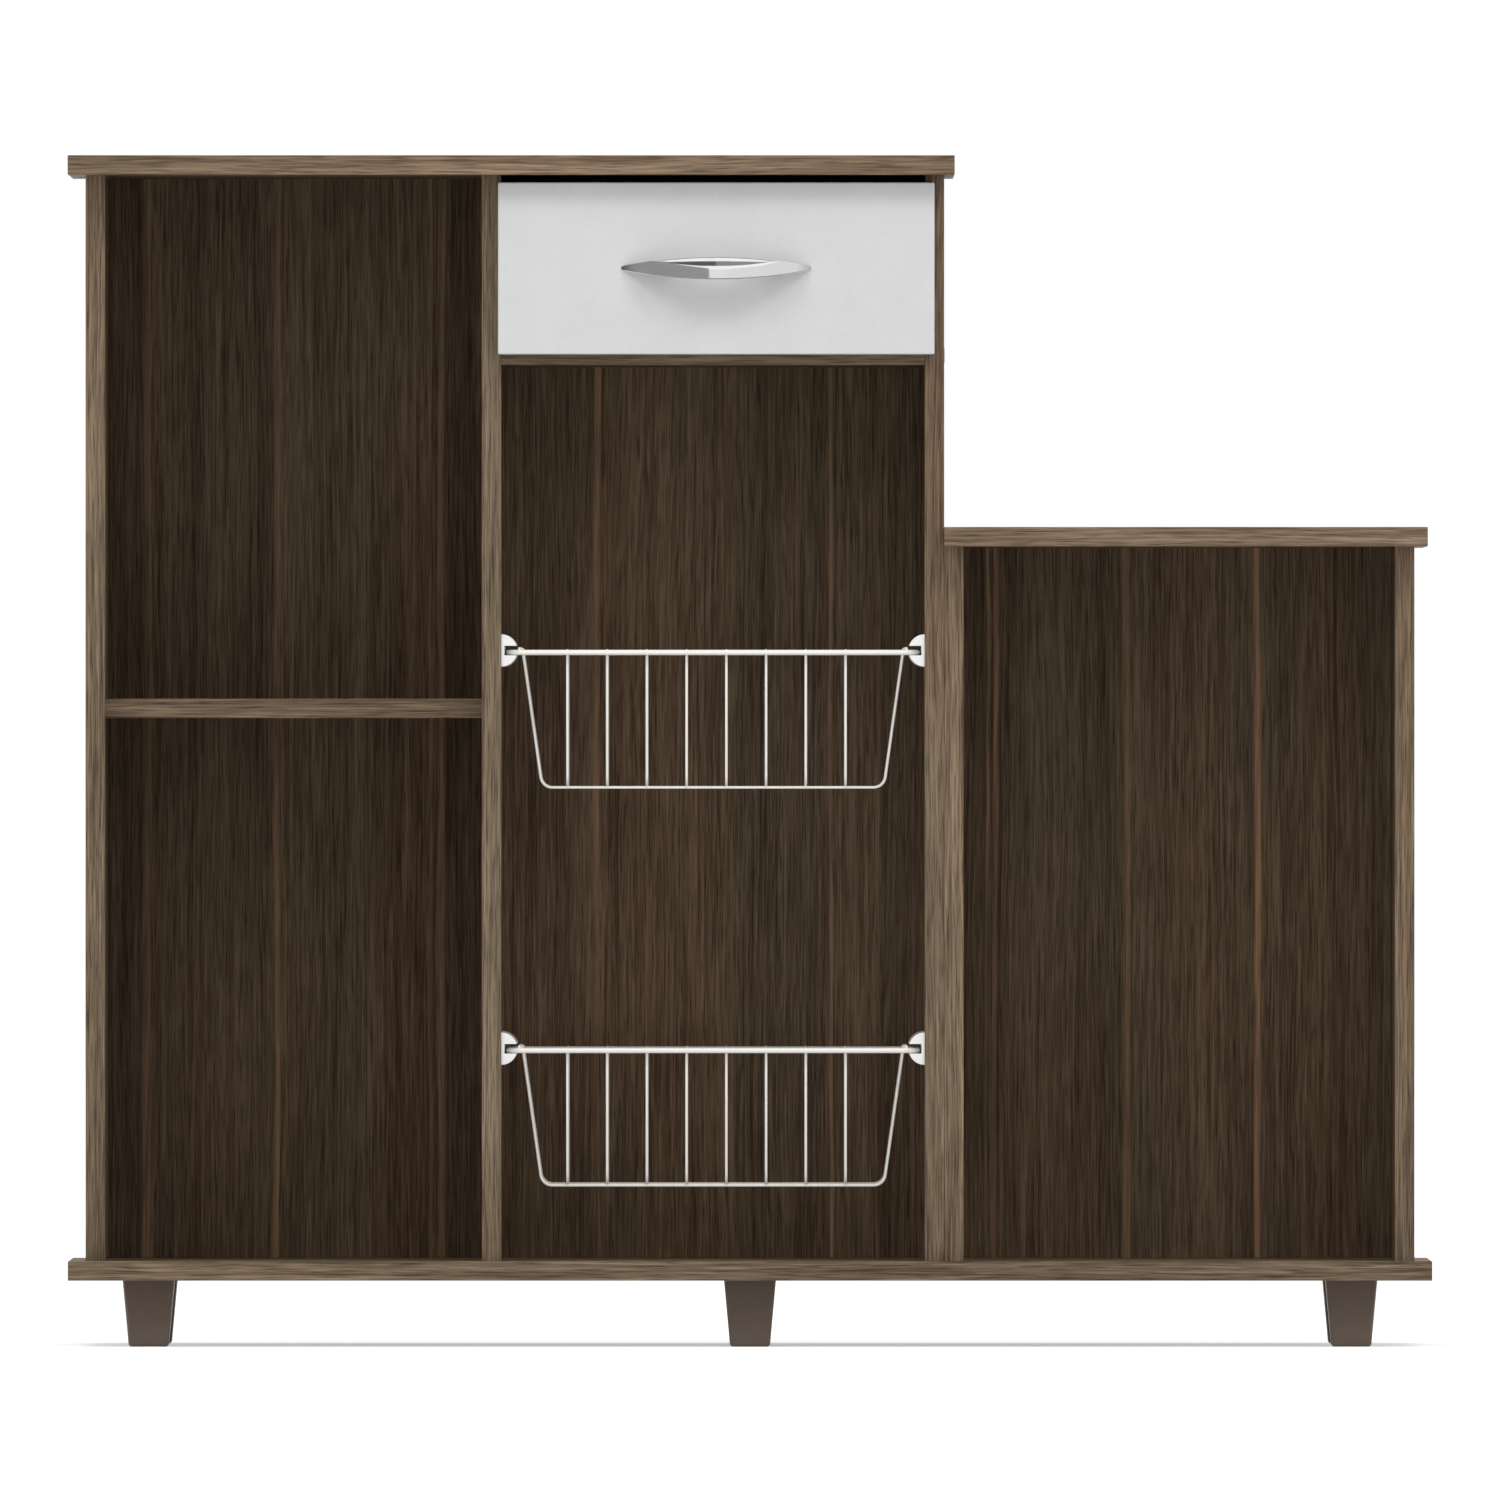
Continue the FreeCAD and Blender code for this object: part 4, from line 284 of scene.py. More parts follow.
class Finish:
    """A procedural material built node by node; every pattern reads the piece's own coordinates."""

    def __init__(self, name):
        self.material = bpy.data.materials.new(name)
        self.material.use_nodes = True
        self.tree = self.material.node_tree
        self.shader = self.tree.nodes["Principled BSDF"]
        self.place = self.add("ShaderNodeTexCoord").outputs["Object"]

    def add(self, kind, inputs=(), **settings):
        """A new node with its settings, its inputs fed by their names or numbers."""
        node = self.tree.nodes.new(kind)
        for key, setting in settings.items():
            setattr(node, key, setting)
        for key, source in dict(inputs).items():
            self.feed(node.inputs[key], source)
        return node

    def feed(self, socket, source):
        """Link a socket to another node's output, or set it to a plain value."""
        if isinstance(source, bpy.types.NodeSocket):
            self.tree.links.new(source, socket)
        else:
            socket.default_value = source

    def set(self, **sockets):
        """Shader sockets by their names, with underscores for spaces."""
        for name, source in sockets.items():
            self.feed(self.shader.inputs[name.replace("_", " ")], source)
        return self

    def noise(self, waves, detail, seed, place=None):
        """Soft noise round its middle, with so many waves in a metre along each axis, turned so
        that no flat face lies along the noise's own grid."""
        spot = self.add("ShaderNodeMapping", {
            "Vector": place or self.place, "Location": tuple(seed * step for step in SEED_STEPS),
            "Rotation": NOISE_TURN, "Scale": waves})
        texture = self.add("ShaderNodeTexNoise", {
            "Vector": spot.outputs["Vector"], "Scale": 1.0, "Detail": detail})
        return texture.outputs["Fac"]

    def math(self, operation, first, second=0.0, third=0.0):
        """One step of arithmetic on up to three values."""
        node = self.add("ShaderNodeMath", {0: first, 1: second, 2: third}, operation=operation)
        return node.outputs["Value"]

    def weigh(self, *layers):
        """The sum of (source, weight) layers, each taken about its middle, round that middle."""
        total = NOISE_MIDDLE
        for source, weight in layers:
            off_middle = self.math("SUBTRACT", source, NOISE_MIDDLE)
            total = self.math("MULTIPLY_ADD", off_middle, weight, total)
        return total

    def fit(self, source, low, high, to_low=0.0, to_high=1.0):
        """A value carried from one range to another and held at its ends."""
        node = self.add("ShaderNodeMapRange", {
            "Value": source, "From Min": low, "From Max": high,
            "To Min": to_low, "To Max": to_high})
        return node.outputs["Result"]

    def ramp(self, source, stops, blend="LINEAR"):
        """A colour read off a band of (position, colour) stops."""
        node = self.add("ShaderNodeValToRGB", {"Fac": source})
        node.color_ramp.interpolation = blend
        band = node.color_ramp.elements
        band[0].position, band[0].color = stops[0][0], (*stops[0][1], 1)
        band[-1].position, band[-1].color = stops[-1][0], (*stops[-1][1], 1)
        for position, colour in stops[1:-1]:
            band.new(position).color = (*colour, 1)
        return node.outputs["Color"]

    def mix(self, amount, first, second, how="MIX"):
        """The first colour with an amount of the second mixed, or multiplied, into it."""
        node = self.add("ShaderNodeMix", {MIX_AMOUNT: amount}, data_type="RGBA", blend_type=how)
        for index, source in zip(MIX_COLOURS, (first, second)):
            colour = (*source, 1) if isinstance(source, tuple) else source
            self.feed(node.inputs[index], colour)
        return node.outputs[MIX_COLOUR_OUT]

    def axis(self, index, place=None):
        """One coordinate of the place, or of another vector."""
        return self.add("ShaderNodeSeparateXYZ", {"Vector": place or self.place}).outputs[index]

    def turned_at_ends(self):
        """The place, with X and Y changed over on faces that look along X, as edging is put on a
        board."""
        normal = self.add("ShaderNodeNewGeometry").outputs["True Normal"]
        along_x = self.math("ABSOLUTE", self.axis(X, normal))
        at_end = self.math("GREATER_THAN", along_x, FACES_END)
        turned = self.add("ShaderNodeCombineXYZ", {
            X: self.axis(Y), Y: self.axis(X), Z: self.axis(Z)}).outputs["Vector"]
        plain_at, turned_at = MIX_VECTORS
        node = self.add("ShaderNodeMix", {
            MIX_AMOUNT: at_end, plain_at: self.place, turned_at: turned}, data_type="VECTOR")
        return node.outputs[MIX_VECTOR_OUT]

    def bump(self, height, strength, distance):
        """Let a height tilt the surface's shading."""
        node = self.add("ShaderNodeBump", {
            "Height": height, "Strength": strength, "Distance": distance})
        self.set(Normal=node.outputs["Normal"])


def stretched(grain, along, across):
    """A noise scale that runs long along one axis and fine across it."""
    scale = [across] * 3
    scale[grain] = along
    return tuple(scale)


# Printed wood. A layer of grain: waves in a metre along and across it, detail, and step of the seed
FIGURE, STREAK, FINE, PORES = (
    (1.1, 30, 3.0, 0), (3.5, 290, 3.0, 3), (13, 650, 2.0, 5), (38, 1150, 1.0, 7))
GRAIN_WEIGHTS = (0.65, 0.85, 1.0, 0.65)
GRAIN_COLOURS = [
    (0.15, paint(80, 65, 51)), (0.5, paint(116, 99, 80)), (0.85, paint(146, 128, 107))]
SWAY_WAVES = (2.0, 9.0)
SWAY_DETAIL = 2.0
SWAY_REACH = 0.012
HUE = (1.5, 14, 1.0, 9)
HUE_RANGE = (0.35, 0.65)
REDDISH, OLIVE = (1.05, 0.99, 0.95), (0.97, 1.0, 0.98)
PIT_RANGE = (0.45, 0.30)
PIT_SHADE = 0.45
PIT_COLOUR = paint(58, 46, 35)
RELIEF_WEIGHTS = (0.5, 0.6)  # streaks, pits
PRINT_BUMP = (0.35, 0.15 * MM)
PRINT_ROUGHNESS = (0.3, 0.7, 0.58, 0.46)  # from a range of the grain to a range of roughness
# Lighter lines between planks: layers that fade and break them, and the range fitted to a strength
LINE_FADES, LINE_FADE_RANGE = (2.4, 6, 2.0, 13), (0.40, 0.56, 0.55)
LINE_BREAKS, LINE_BREAK_RANGE = (14, 420, 3.0, 11), (0.38, 0.58, 0.4)
LINE_SOFTNESS = (0.55, 0.25)  # shares of its width at which a line starts and is full
LINE_COLOUR = paint(194, 157, 123)
# Bare board behind the print
CHIP_WAVES = (520, 520, 520)
CHIP_DETAIL = 3.0
CHIP_COLOURS = [(0.35, paint(140, 108, 74)), (0.6, paint(190, 160, 118))]
CHIP_ROUGHNESS = 0.85
CHIP_EDGE = 0.1 * MM


def grain_noise(wood, grain, layer, seed, place=None):
    """Noise along the grain by a layer's row."""
    along, across, detail, step = layer
    return wood.noise(stretched(grain, along, across), detail, seed + step, place)


def swayed(wood, grain, seed, place):
    """The place, moved a little across the grain by slow noise, so that streaks aren't ruled."""
    spot = wood.add("ShaderNodeMapping", {
        "Vector": place, "Location": (seed, seed, seed), "Scale": stretched(grain, *SWAY_WAVES)})
    drift = wood.add("ShaderNodeTexNoise", {
        "Vector": spot.outputs["Vector"], "Scale": 1.0, "Detail": SWAY_DETAIL})
    off_middle = wood.add("ShaderNodeVectorMath", {
        0: drift.outputs["Color"], 1: (NOISE_MIDDLE,) * 3}, operation="SUBTRACT")
    moved = wood.add("ShaderNodeVectorMath", {
        0: off_middle.outputs["Vector"], 1: stretched(grain, 0.0, SWAY_REACH), 2: place},
        operation="MULTIPLY_ADD")
    return moved.outputs["Vector"]


def planked(wood, colour, grain, seed, sway, planks, box):
    """The colour in planks over the board's box: each has its tone, and a lighter, broken line on
    its left edge whose strength goes from one value at the foot to another at the top."""
    low, high = box
    across, up = wood.axis(X, sway), wood.axis(Z)
    stops = [((edge - low.x) / (high.x - low.x), (tone,) * 3) for edge, tone, *_ in planks]
    # Plank tones: the print's own, and lower in the planks beside the uprights as painted corner
    # shade
    tones_and_corner_shade = wood.ramp(wood.fit(across, low.x, high.x), stops, "CONSTANT")
    colour = wood.mix(1.0, colour, tones_and_corner_shade, "MULTIPLY")
    fades = wood.fit(grain_noise(wood, grain, LINE_FADES, seed), *LINE_FADE_RANGE)
    breaks = wood.fit(grain_noise(wood, grain, LINE_BREAKS, seed, sway), *LINE_BREAK_RANGE)
    patchy = wood.math("MULTIPLY", fades, breaks)
    starts, full = LINE_SOFTNESS
    for edge, _, at_foot, at_top, width in planks[1:]:
        off = wood.math("ABSOLUTE", wood.math("SUBTRACT", across, edge))
        at_height = wood.fit(up, low.z, high.z, at_foot, at_top)
        strength = wood.math("MULTIPLY", at_height, patchy)
        line = wood.math("MULTIPLY", wood.fit(off, width * starts, width * full), strength)
        colour = wood.mix(line, colour, LINE_COLOUR)
    return colour


def wood_print(name, grain, seed, tone, shine, raw_from, planks=(), box=None):
    """Printed wood: broad figure, streaks and short dark pores along the grain, in satin melamine.

    Planks are (left edge along X, tone, strength of the line at the foot and at the top, width of
    the line), over the board's box. Behind raw_from, measured along Y, the board's own chips show.
    """
    wood = Finish(name)
    place = wood.turned_at_ends() if grain == X else wood.place
    sway = swayed(wood, grain, seed, place)
    figure, streak, fine, pores = (
        grain_noise(wood, grain, layer, seed, sway) for layer in (FIGURE, STREAK, FINE, PORES))
    tint = wood.weigh(*zip((figure, streak, fine, pores), GRAIN_WEIGHTS))
    hue = wood.fit(grain_noise(wood, grain, HUE, seed, place), *HUE_RANGE)
    colour = wood.mix(
        1.0, wood.ramp(tint, GRAIN_COLOURS), wood.mix(hue, OLIVE, REDDISH), "MULTIPLY")
    pits = wood.fit(pores, *PIT_RANGE)
    colour = wood.mix(wood.math("MULTIPLY", pits, PIT_SHADE), colour, PIT_COLOUR)
    if planks:
        colour = planked(wood, colour, grain, seed, sway, planks, box)
    colour = wood.mix(1.0, colour, tone, "MULTIPLY")
    bare = wood.fit(wood.axis(Y), raw_from - CHIP_EDGE, raw_from + CHIP_EDGE)
    chips = wood.ramp(wood.noise(CHIP_WAVES, CHIP_DETAIL, seed), CHIP_COLOURS)
    satin = wood.fit(tint, *PRINT_ROUGHNESS)
    rough = wood.math("MULTIPLY", bare, CHIP_ROUGHNESS)
    wood.set(Base_Color=wood.mix(bare, colour, chips),
             Roughness=wood.math("MAXIMUM", satin, rough), Specular_IOR_Level=shine)
    unpitted = wood.math("SUBTRACT", 1.0, pits)
    wood.bump(wood.weigh(*zip((streak, unpitted), RELIEF_WEIGHTS)), *PRINT_BUMP)
    return wood.material


# Plain coats and plastics: colour, how much of it wavers, waves in a metre, roughness, seed, shine,
# and relief in mm
COATS = {
    "white_front": (paint(214, 214, 215), 0.03, 420, 0.42, 1.0, 0.3, 0.05),
    "drawer_lining": (paint(206, 204, 200), 0.03, 300, 0.5, 2.0, 0.3, 0.06),
    "wire_coat": (paint(252, 249, 243), 0.02, 900, 0.28, 3.0, 0.5, 0.02),
    "guide_plastic": (paint(246, 246, 245), 0.02, 500, 0.36, 4.0, 0.45, 0.03),
    "foot_plastic": (paint(97, 81, 69), 0.06, 1400, 0.34, 5.0, 0.45, 0.05),
    "runner_coat": (paint(226, 226, 224), 0.03, 500, 0.36, 6.0, 0.45, 0.03),
    "roller_nylon": (paint(232, 231, 224), 0.03, 700, 0.4, 7.0, 0.4, 0.03),
    "cap_plastic": (paint(112, 96, 78), 0.06, 900, 0.5, 8.0, 0.35, 0.04),
    "dowel_beech": (paint(196, 160, 116), 0.1, 600, 0.7, 9.0, 0.2, 0.08),
}
COAT_DETAIL, COAT_BROAD_DETAIL = 4.0, 2.0
COAT_BROADER = 12  # how many times longer the broad waves are
COAT_SEED_STEP = 5
COAT_WEIGHTS = (0.8, 0.8)
COAT_STOPS = (0.25, 0.75)
COAT_GLOSS = (1.12, 0.88)  # roughness of the darker and lighter parts, as shares
COAT_BUMP = 2  # strength of the bump for each mm of relief

# Bright metals: colour, roughness, strength of the brush marks, and seed
METALS = {
    "handle_chrome": (paint(245, 246, 247), 0.06, 0.02, 10.0),
    "zinc_plate": (paint(196, 197, 196), 0.3, 0.1, 11.0),
}
BRUSH_WAVES, BRUSH_DETAIL, BRUSH_DEPTH = (60, 1400, 1400), 2.0, 0.05 * MM
PATCH_WAVES, PATCH_DETAIL, PATCH_SEED_STEP = (90, 90, 90), 3.0, 2
METAL_WEIGHTS = (0.6, 0.8)  # brush marks, patches
METAL_STOPS = (0.2, 0.8)
METAL_DULL = 0.9
METAL_GLOSS = (1.4, 0.8)  # roughness of the dull and bright parts, as shares

WAVER_RANGE = (0.3, 0.7)  # the range of a coat's or metal's waves that its gloss follows


def mottled(name, colour, change, waves, roughness, seed, shine, relief):
    """A plain coat or plastic whose colour, gloss and skin waver a little at one grain size."""
    coat = Finish(name)
    cloud = coat.noise((waves,) * 3, COAT_DETAIL, seed)
    broad = coat.noise((waves / COAT_BROADER,) * 3, COAT_BROAD_DETAIL, seed + COAT_SEED_STEP)
    wave = coat.weigh(*zip((cloud, broad), COAT_WEIGHTS))
    darker = tuple(c * (1 - change) for c in colour)
    lighter = tuple(min(c * (1 + change), 1.0) for c in colour)
    gloss = [roughness * share for share in COAT_GLOSS]
    coat.set(Base_Color=coat.ramp(wave, list(zip(COAT_STOPS, (darker, lighter)))),
             Roughness=coat.fit(wave, *WAVER_RANGE, *gloss), Specular_IOR_Level=shine)
    coat.bump(cloud, relief * COAT_BUMP, relief * MM)
    return coat.material


def bright_metal(name, colour, roughness, brushed, seed):
    """Plated or polished metal with faint brush marks along X and a few dull patches."""
    metal = Finish(name)
    marks = metal.noise(BRUSH_WAVES, BRUSH_DETAIL, seed)
    patches = metal.noise(PATCH_WAVES, PATCH_DETAIL, seed + PATCH_SEED_STEP)
    wave = metal.weigh(*zip((marks, patches), METAL_WEIGHTS))
    dull = tuple(c * METAL_DULL for c in colour)
    gloss = [roughness * share for share in METAL_GLOSS]
    metal.set(Base_Color=metal.ramp(wave, list(zip(METAL_STOPS, (dull, colour)))),
              Roughness=metal.fit(wave, *WAVER_RANGE, *gloss), Metallic=1.0)
    metal.bump(marks, brushed, BRUSH_DEPTH)
    return metal.material


FINISHES = {name: mottled(name, *row) for name, row in COATS.items()}
FINISHES.update((name, bright_metal(name, *row)) for name, row in METALS.items())
WIRE_COAT, HANDLE_CHROME = FINISHES["wire_coat"], FINISHES["handle_chrome"]

# The finish that each of the record's material slots takes, but for the boards
SLOT_FINISHES = {
    "drawer_board": "drawer_lining", "white_front": "white_front", "guide_plastic": "guide_plastic",
    "foot_plastic": "foot_plastic", "runner_steel": "runner_coat", "roller_nylon": "roller_nylon",
    "cap_plastic": "cap_plastic", "dowel_wood": "dowel_beech", "fastener_zinc": "zinc_plate",
    "handle_chrome": "handle_chrome", "basket_wire": "wire_coat",
}

# Boards: the axis that the printed grain runs along, and how light the print is
BOARDS = {
    "base_panel": (X, 1.10), "tall_top_panel": (X, 1.09), "low_top_panel": (X, 1.11),
    "left_shelf": (X, 0.9), "drawer_deck": (X, 0.76),
    "left_side_panel": (Z, 0.98), "centre_divider": (Z, 1.05), "tall_right_side_panel": (Z, 1.06),
    "low_left_side_panel": (Z, 1.28), "low_right_side_panel": (Z, 0.97),
}
BOARD_SHINE = 0.22
BOARD_RAW = 0.2 * MM  # the rear edge has no edging
# Backs: the planks of the print, as (left edge in mm from the middle, tone, strength of the line
# there at the foot and at the top, line width in mm). The narrow planks next to the uprights have
# the lowest tones, which hold painted corner shade as well as the print's own plank tone
BACK_PLANKS = {
    "left_back_panel": [
        (-499, 0.62, 0, 0, 0), (-467, 0.86, 0.5, 0.4, 7), (-366.4, 0.95, 1.0, 0.4, 6),
        (-247.6, 0.95, 0.4, 0.25, 4), (-238.6, 0.68, 0.5, 0.35, 6)],
    "centre_back_panel": [
        (-195, 0.84, 0, 0, 0), (-119.3, 1.0, 0.1, 1.1, 6.2), (-13, 0.88, 0.3, 0.3, 4),
        (62, 0.94, 0.9, 0.9, 3.6), (98.6, 0.82, 0.2, 0.2, 3)],
    "right_back_panel": [
        (162, 0.84, 0, 0, 0), (184.2, 0.82, 0.5, 0.5, 3), (190.4, 0.84, 0.6, 0.6, 5),
        (291.4, 0.95, 0.5, 0.5, 7), (393, 1.0, 0.9, 0.9, 5.6), (445, 0.82, 0.1, 0.1, 3)],
}
BACK_TONE = (1.06, 1.0, 0.97)
BACK_SHINE = 0.1
BACK_RAW = 1.5 * MM  # the print is on the front face alone
PRINT_SEED = 1.37
FIRST_BOARD, FIRST_BACK = 1, 21  # what the seeds are counted from


def wear(name, finish):
    """Give a CAD node one finish all over."""
    slots = nodes[name].data.materials
    slots.clear()
    slots.append(finish)


def dress_boards():
    """Each board and each back takes a print of its own."""
    for number, (name, (grain, tone)) in enumerate(BOARDS.items(), start=FIRST_BOARD):
        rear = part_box(name)[1].y
        wear(name, wood_print(f"{name}_print", grain, PRINT_SEED * number, (tone,) * 3,
                              BOARD_SHINE, rear - BOARD_RAW))
    for number, (name, rows) in enumerate(BACK_PLANKS.items(), start=FIRST_BACK):
        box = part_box(name)
        planks = [(edge * MM, tone, at_foot, at_top, width * MM)
                  for edge, tone, at_foot, at_top, width in rows]
        wear(name, wood_print(f"{name}_print", Z, PRINT_SEED * number, BACK_TONE,
                              BACK_SHINE, box[1].y - BACK_RAW, planks, box))


def dress_small_nodes():
    """Every other CAD node takes the finish of its material slot in the record."""
    for entry in frame["record"]["subparts"]:
        if entry["material_slot"] in SLOT_FINISHES:
            wear(entry["node"], FINISHES[SLOT_FINISHES[entry["material_slot"]]])


# Pieces


def bow(across, half, crown):
    """The height at a distance from the middle of a circle's arc over a chord, given its crown."""
    radius = (half ** 2 + crown ** 2) / (2 * crown)
    return np.sqrt(np.maximum(radius ** 2 - across ** 2, 0)) - radius + crown


def make_handle():
    """A crescent in plan and a lens from the front: its outer and inner faces, top and bottom are
    circle arcs over the handle's length. A swelling facet takes off the top front edge: in each
    section it is an arc of a wide circle, whose hub follows a share of the outer bow. So each
    section has five corners. Each corner is rounded by a parabola between points on its two sides,
    and each side is a run of points from one rounding to the next."""
    low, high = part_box("drawer_handle")
    middle_x, middle_z, foot_y = (low.x + high.x) / 2, (low.z + high.z) / 2, high.y
    half, rise, out = (high.x - low.x) / 2, (high.z - low.z) / 2, high.y - low.y
    swing = np.linspace(-math.pi / 2, math.pi / 2, HANDLE_SECTIONS)
    across = half * HANDLE_SPAN * np.sin(swing)
    outer = np.maximum(bow(across, half, out), HANDLE_LEAST_DEPTH)
    inner = np.clip(bow(across, HANDLE_GRIP / 2, HANDLE_REACH), 0, None)
    near_tip = np.clip((np.abs(across) - half) / HANDLE_TIP_ROUND + 1, 0, 1)
    blunt = np.maximum(np.sqrt(1 - near_tip ** 2), HANDLE_LEAST_BLUNT)
    top = (HANDLE_TIP / 2 + bow(across, half, rise - HANDLE_TIP / 2)) * blunt

    chord = math.hypot(HANDLE_FACET_DEPTH, rise)
    wide = chord ** 2 / (8 * HANDLE_FACET_SWELL) + HANDLE_FACET_SWELL / 2
    sunk = (wide - HANDLE_FACET_SWELL) / chord
    hub_out = out - HANDLE_FACET_DEPTH / 2 - sunk * rise - HANDLE_FACET_BOW * (out - outer)
    hub_up = rise / 2 - sunk * HANDLE_FACET_DEPTH
    back = np.clip(hub_out + np.sqrt(wide ** 2 - (top - hub_up) ** 2), inner, outer)

    def facet(along):
        """Points (depth, height) on the facet, at shares of the way from its back edge out."""
        depth = back[:, None] + (outer - back)[:, None] * along
        height = hub_up + np.sqrt(np.maximum(wide ** 2 - (depth - hub_out[:, None]) ** 2, 0))
        return np.stack([depth, np.minimum(height, top[:, None])], -1)

    crease = facet(np.ones((1, 1)))[:, 0]
    corners = np.stack([np.stack([inner, top], -1), np.stack([back, top], -1), crease,
                        np.stack([outer, -top], -1), np.stack([inner, -top], -1)], axis=1)
    facet_side = 1
    sides = np.roll(corners, -1, axis=1) - corners
    lengths = np.maximum(np.linalg.norm(sides, axis=-1, keepdims=True), TINY)
    share = np.minimum(HANDLE_EDGE / lengths, HANDLE_EDGE_SHARE)
    step = np.linspace(0, 1, HANDLE_SIDE_POINTS)[None, None, :, None]
    along = share[:, :, None] + (1 - 2 * share[:, :, None]) * step
    runs = corners[:, :, None] + sides[:, :, None] * along
    runs[:, facet_side] = facet(along[:, facet_side, :, 0])
    starts, ends = np.roll(runs, 1, axis=1)[:, :, -1:], runs[:, :, :1]
    turn = np.linspace(0, 1, HANDLE_ROUND_POINTS + 2)[None, None, 1:-1, None]
    rounds = ((1 - turn) ** 2 * starts + 2 * turn * (1 - turn) * corners[:, :, None]
              + turn ** 2 * ends)
    section = np.concatenate([rounds, runs], axis=2).reshape(len(across), -1, 2)
    spread = np.broadcast_to(across[:, None], section.shape[:2])
    rings = np.stack(
        [middle_x + spread, foot_y - section[..., 0], middle_z + section[..., 1]], axis=-1)
    piece("bow_handle", closed_grid(rings), "drawer", HANDLE_CHROME,
          ["drawer_handle"], HANDLE_CREASE)


def tapered_u(axis, hang, top, low):
    """The middle line of a wire bent to a U along one axis: down from the two places where it
    hangs, drawn in by the taper, and across the bottom."""
    foot = hang + (BASKET_TAPER, -BASKET_TAPER)
    corners = np.zeros((4, 3))
    corners[:, axis] = hang[0], foot[0], foot[1], hang[1]
    corners[:, Z] = top, low, low, top
    return bent_path(corners, WIRE_BEND, WIRE_BEND_STEPS)


def thin_wires(path, normal, axis, places):
    """One thin wire repeated at places along an axis."""
    offsets = np.zeros((len(places), 3))
    offsets[:, axis] = places
    return repeated(tube(path, normal, THIN_WIRE / 2, THIN_SIDES), offsets)


def beads_at(size, xs, ys, height):
    """A weld bead at every pairing of places along X and Y, at one height."""
    spots = np.stack(np.meshgrid(xs, ys, [height], indexing="ij"), axis=-1)
    return repeated(bead(size), spots.reshape(-1, 3))


def make_basket(level):
    """A closed rim wire, long and cross wires bent to tapered U shapes, two side bars, and a weld
    bead wherever two of them touch."""
    body, rim_node, wire_node = f"{level}_basket", f"{level}_basket_rim", f"{level}_basket_wires"
    rim_low, rim_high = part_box(rim_node)
    floor_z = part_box(wire_node)[0].z
    left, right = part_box("centre_divider")[1].x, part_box("tall_right_side_panel")[0].x
    rim_r, thin_r = RIM_WIRE / 2, THIN_WIRE / 2
    rail_z = (rim_low.z + rim_high.z) / 2
    front, rear = rim_low.y + rim_r, rim_high.y - rim_r
    west, east = rim_low.x + rim_r, rim_high.x - rim_r
    loop = [(x, y, rail_z) for x, y in ((west, front), (east, front), (east, rear), (west, rear))]
    rim_path = bent_path(loop, RIM_CORNER, RIM_CORNER_STEPS, closed=True)
    rim = tube(rim_path, (0, 0, 1), rim_r, RIM_SIDES, closed=True)
    piece(f"{level}_basket_rail", rim, body, WIRE_COAT, [rim_node])

    touch = THIN_WIRE + WELD_GAP
    bar_z = rail_z + rim_r + thin_r + WELD_GAP
    bar_x = np.array([left + SIDE_BAR_INSET, right - SIDE_BAR_INSET])
    bar_y = front - SIDE_BAR_OVERHANG, front, rear, rear + SIDE_BAR_OVERHANG
    bars = thin_wires(np.array([(0, y, bar_z) for y in bar_y]), (0, 0, 1), X, bar_x)

    cross_z = floor_z + thin_r
    cross_path = tapered_u(X, bar_x + (touch, -touch), bar_z + thin_r / 2, cross_z)
    cross_y = np.linspace(rim_low.y + CROSS_MARGIN, rim_high.y - CROSS_MARGIN, CROSS_WIRES)
    cross = thin_wires(cross_path, (0, 1, 0), Y, cross_y)

    hang_y = np.array([front + rim_r + thin_r + WELD_GAP, rear - rim_r - thin_r - WELD_GAP])
    long_path = tapered_u(Y, hang_y, rail_z + rim_r + WIRE_STUB, cross_z + touch)
    long_step = np.arange(LONG_WIRES) - (LONG_WIRES - 1) / 2
    long_x = (left + right) / 2 + LONG_SHIFT + LONG_PITCH * long_step
    long = thin_wires(long_path, (1, 0, 0), X, long_x)
    grid = joined(bars, cross, long)
    piece(f"{level}_basket_grid", grid, body, WIRE_COAT, [wire_node])

    welds = joined(beads_at(FLOOR_WELD, long_x, cross_y, cross_z + touch / 2),
                   beads_at(RIM_WELD, long_x, (front + rim_r, rear - rim_r), rail_z),
                   beads_at(BAR_WELD, bar_x + (thin_r, -thin_r), cross_y, bar_z),
                   beads_at(SEAT_WELD, bar_x, (front, rear), rail_z + rim_r))
    piece(f"{level}_basket_welds", welds, body, WIRE_COAT)


# Studio


def stage_sheet(name, corners, finish):
    """A flat sheet of the studio, which isn't part of the unit."""
    mesh = bpy.data.meshes.new(name)
    mesh.from_pydata(corners, [], [(0, 1, 2, 3)])
    mesh.materials.append(finish.material)
    sheet = bpy.data.objects.new(name, mesh)
    bpy.context.scene.collection.objects.link(sheet)
    return sheet


def make_floor():
    """A pale floor whose lit part goes to white for the camera and keeps the unit's shadow."""
    finish = Finish("studio_floor")
    seen = finish.add("ShaderNodeLightPath").outputs
    shown = finish.math("MAXIMUM", seen["Is Camera Ray"], seen["Is Glossy Ray"])
    shown = finish.math("MAXIMUM", shown, seen["Is Transmission Ray"])
    finish.set(Base_Color=(FLOOR_PAINT,) * 3 + (1,), Roughness=FLOOR_ROUGHNESS,
               Specular_IOR_Level=0.0, Emission_Color=WHITE,
               Emission_Strength=finish.math("MULTIPLY", shown, FLOOR_LIFT))
    spots = (-1, -1), (1, -1), (1, 1), (-1, 1)
    corners = [(x * FLOOR_REACH, y * FLOOR_REACH, 0) for x, y in spots]
    stage_sheet("studio_floor", corners, finish)


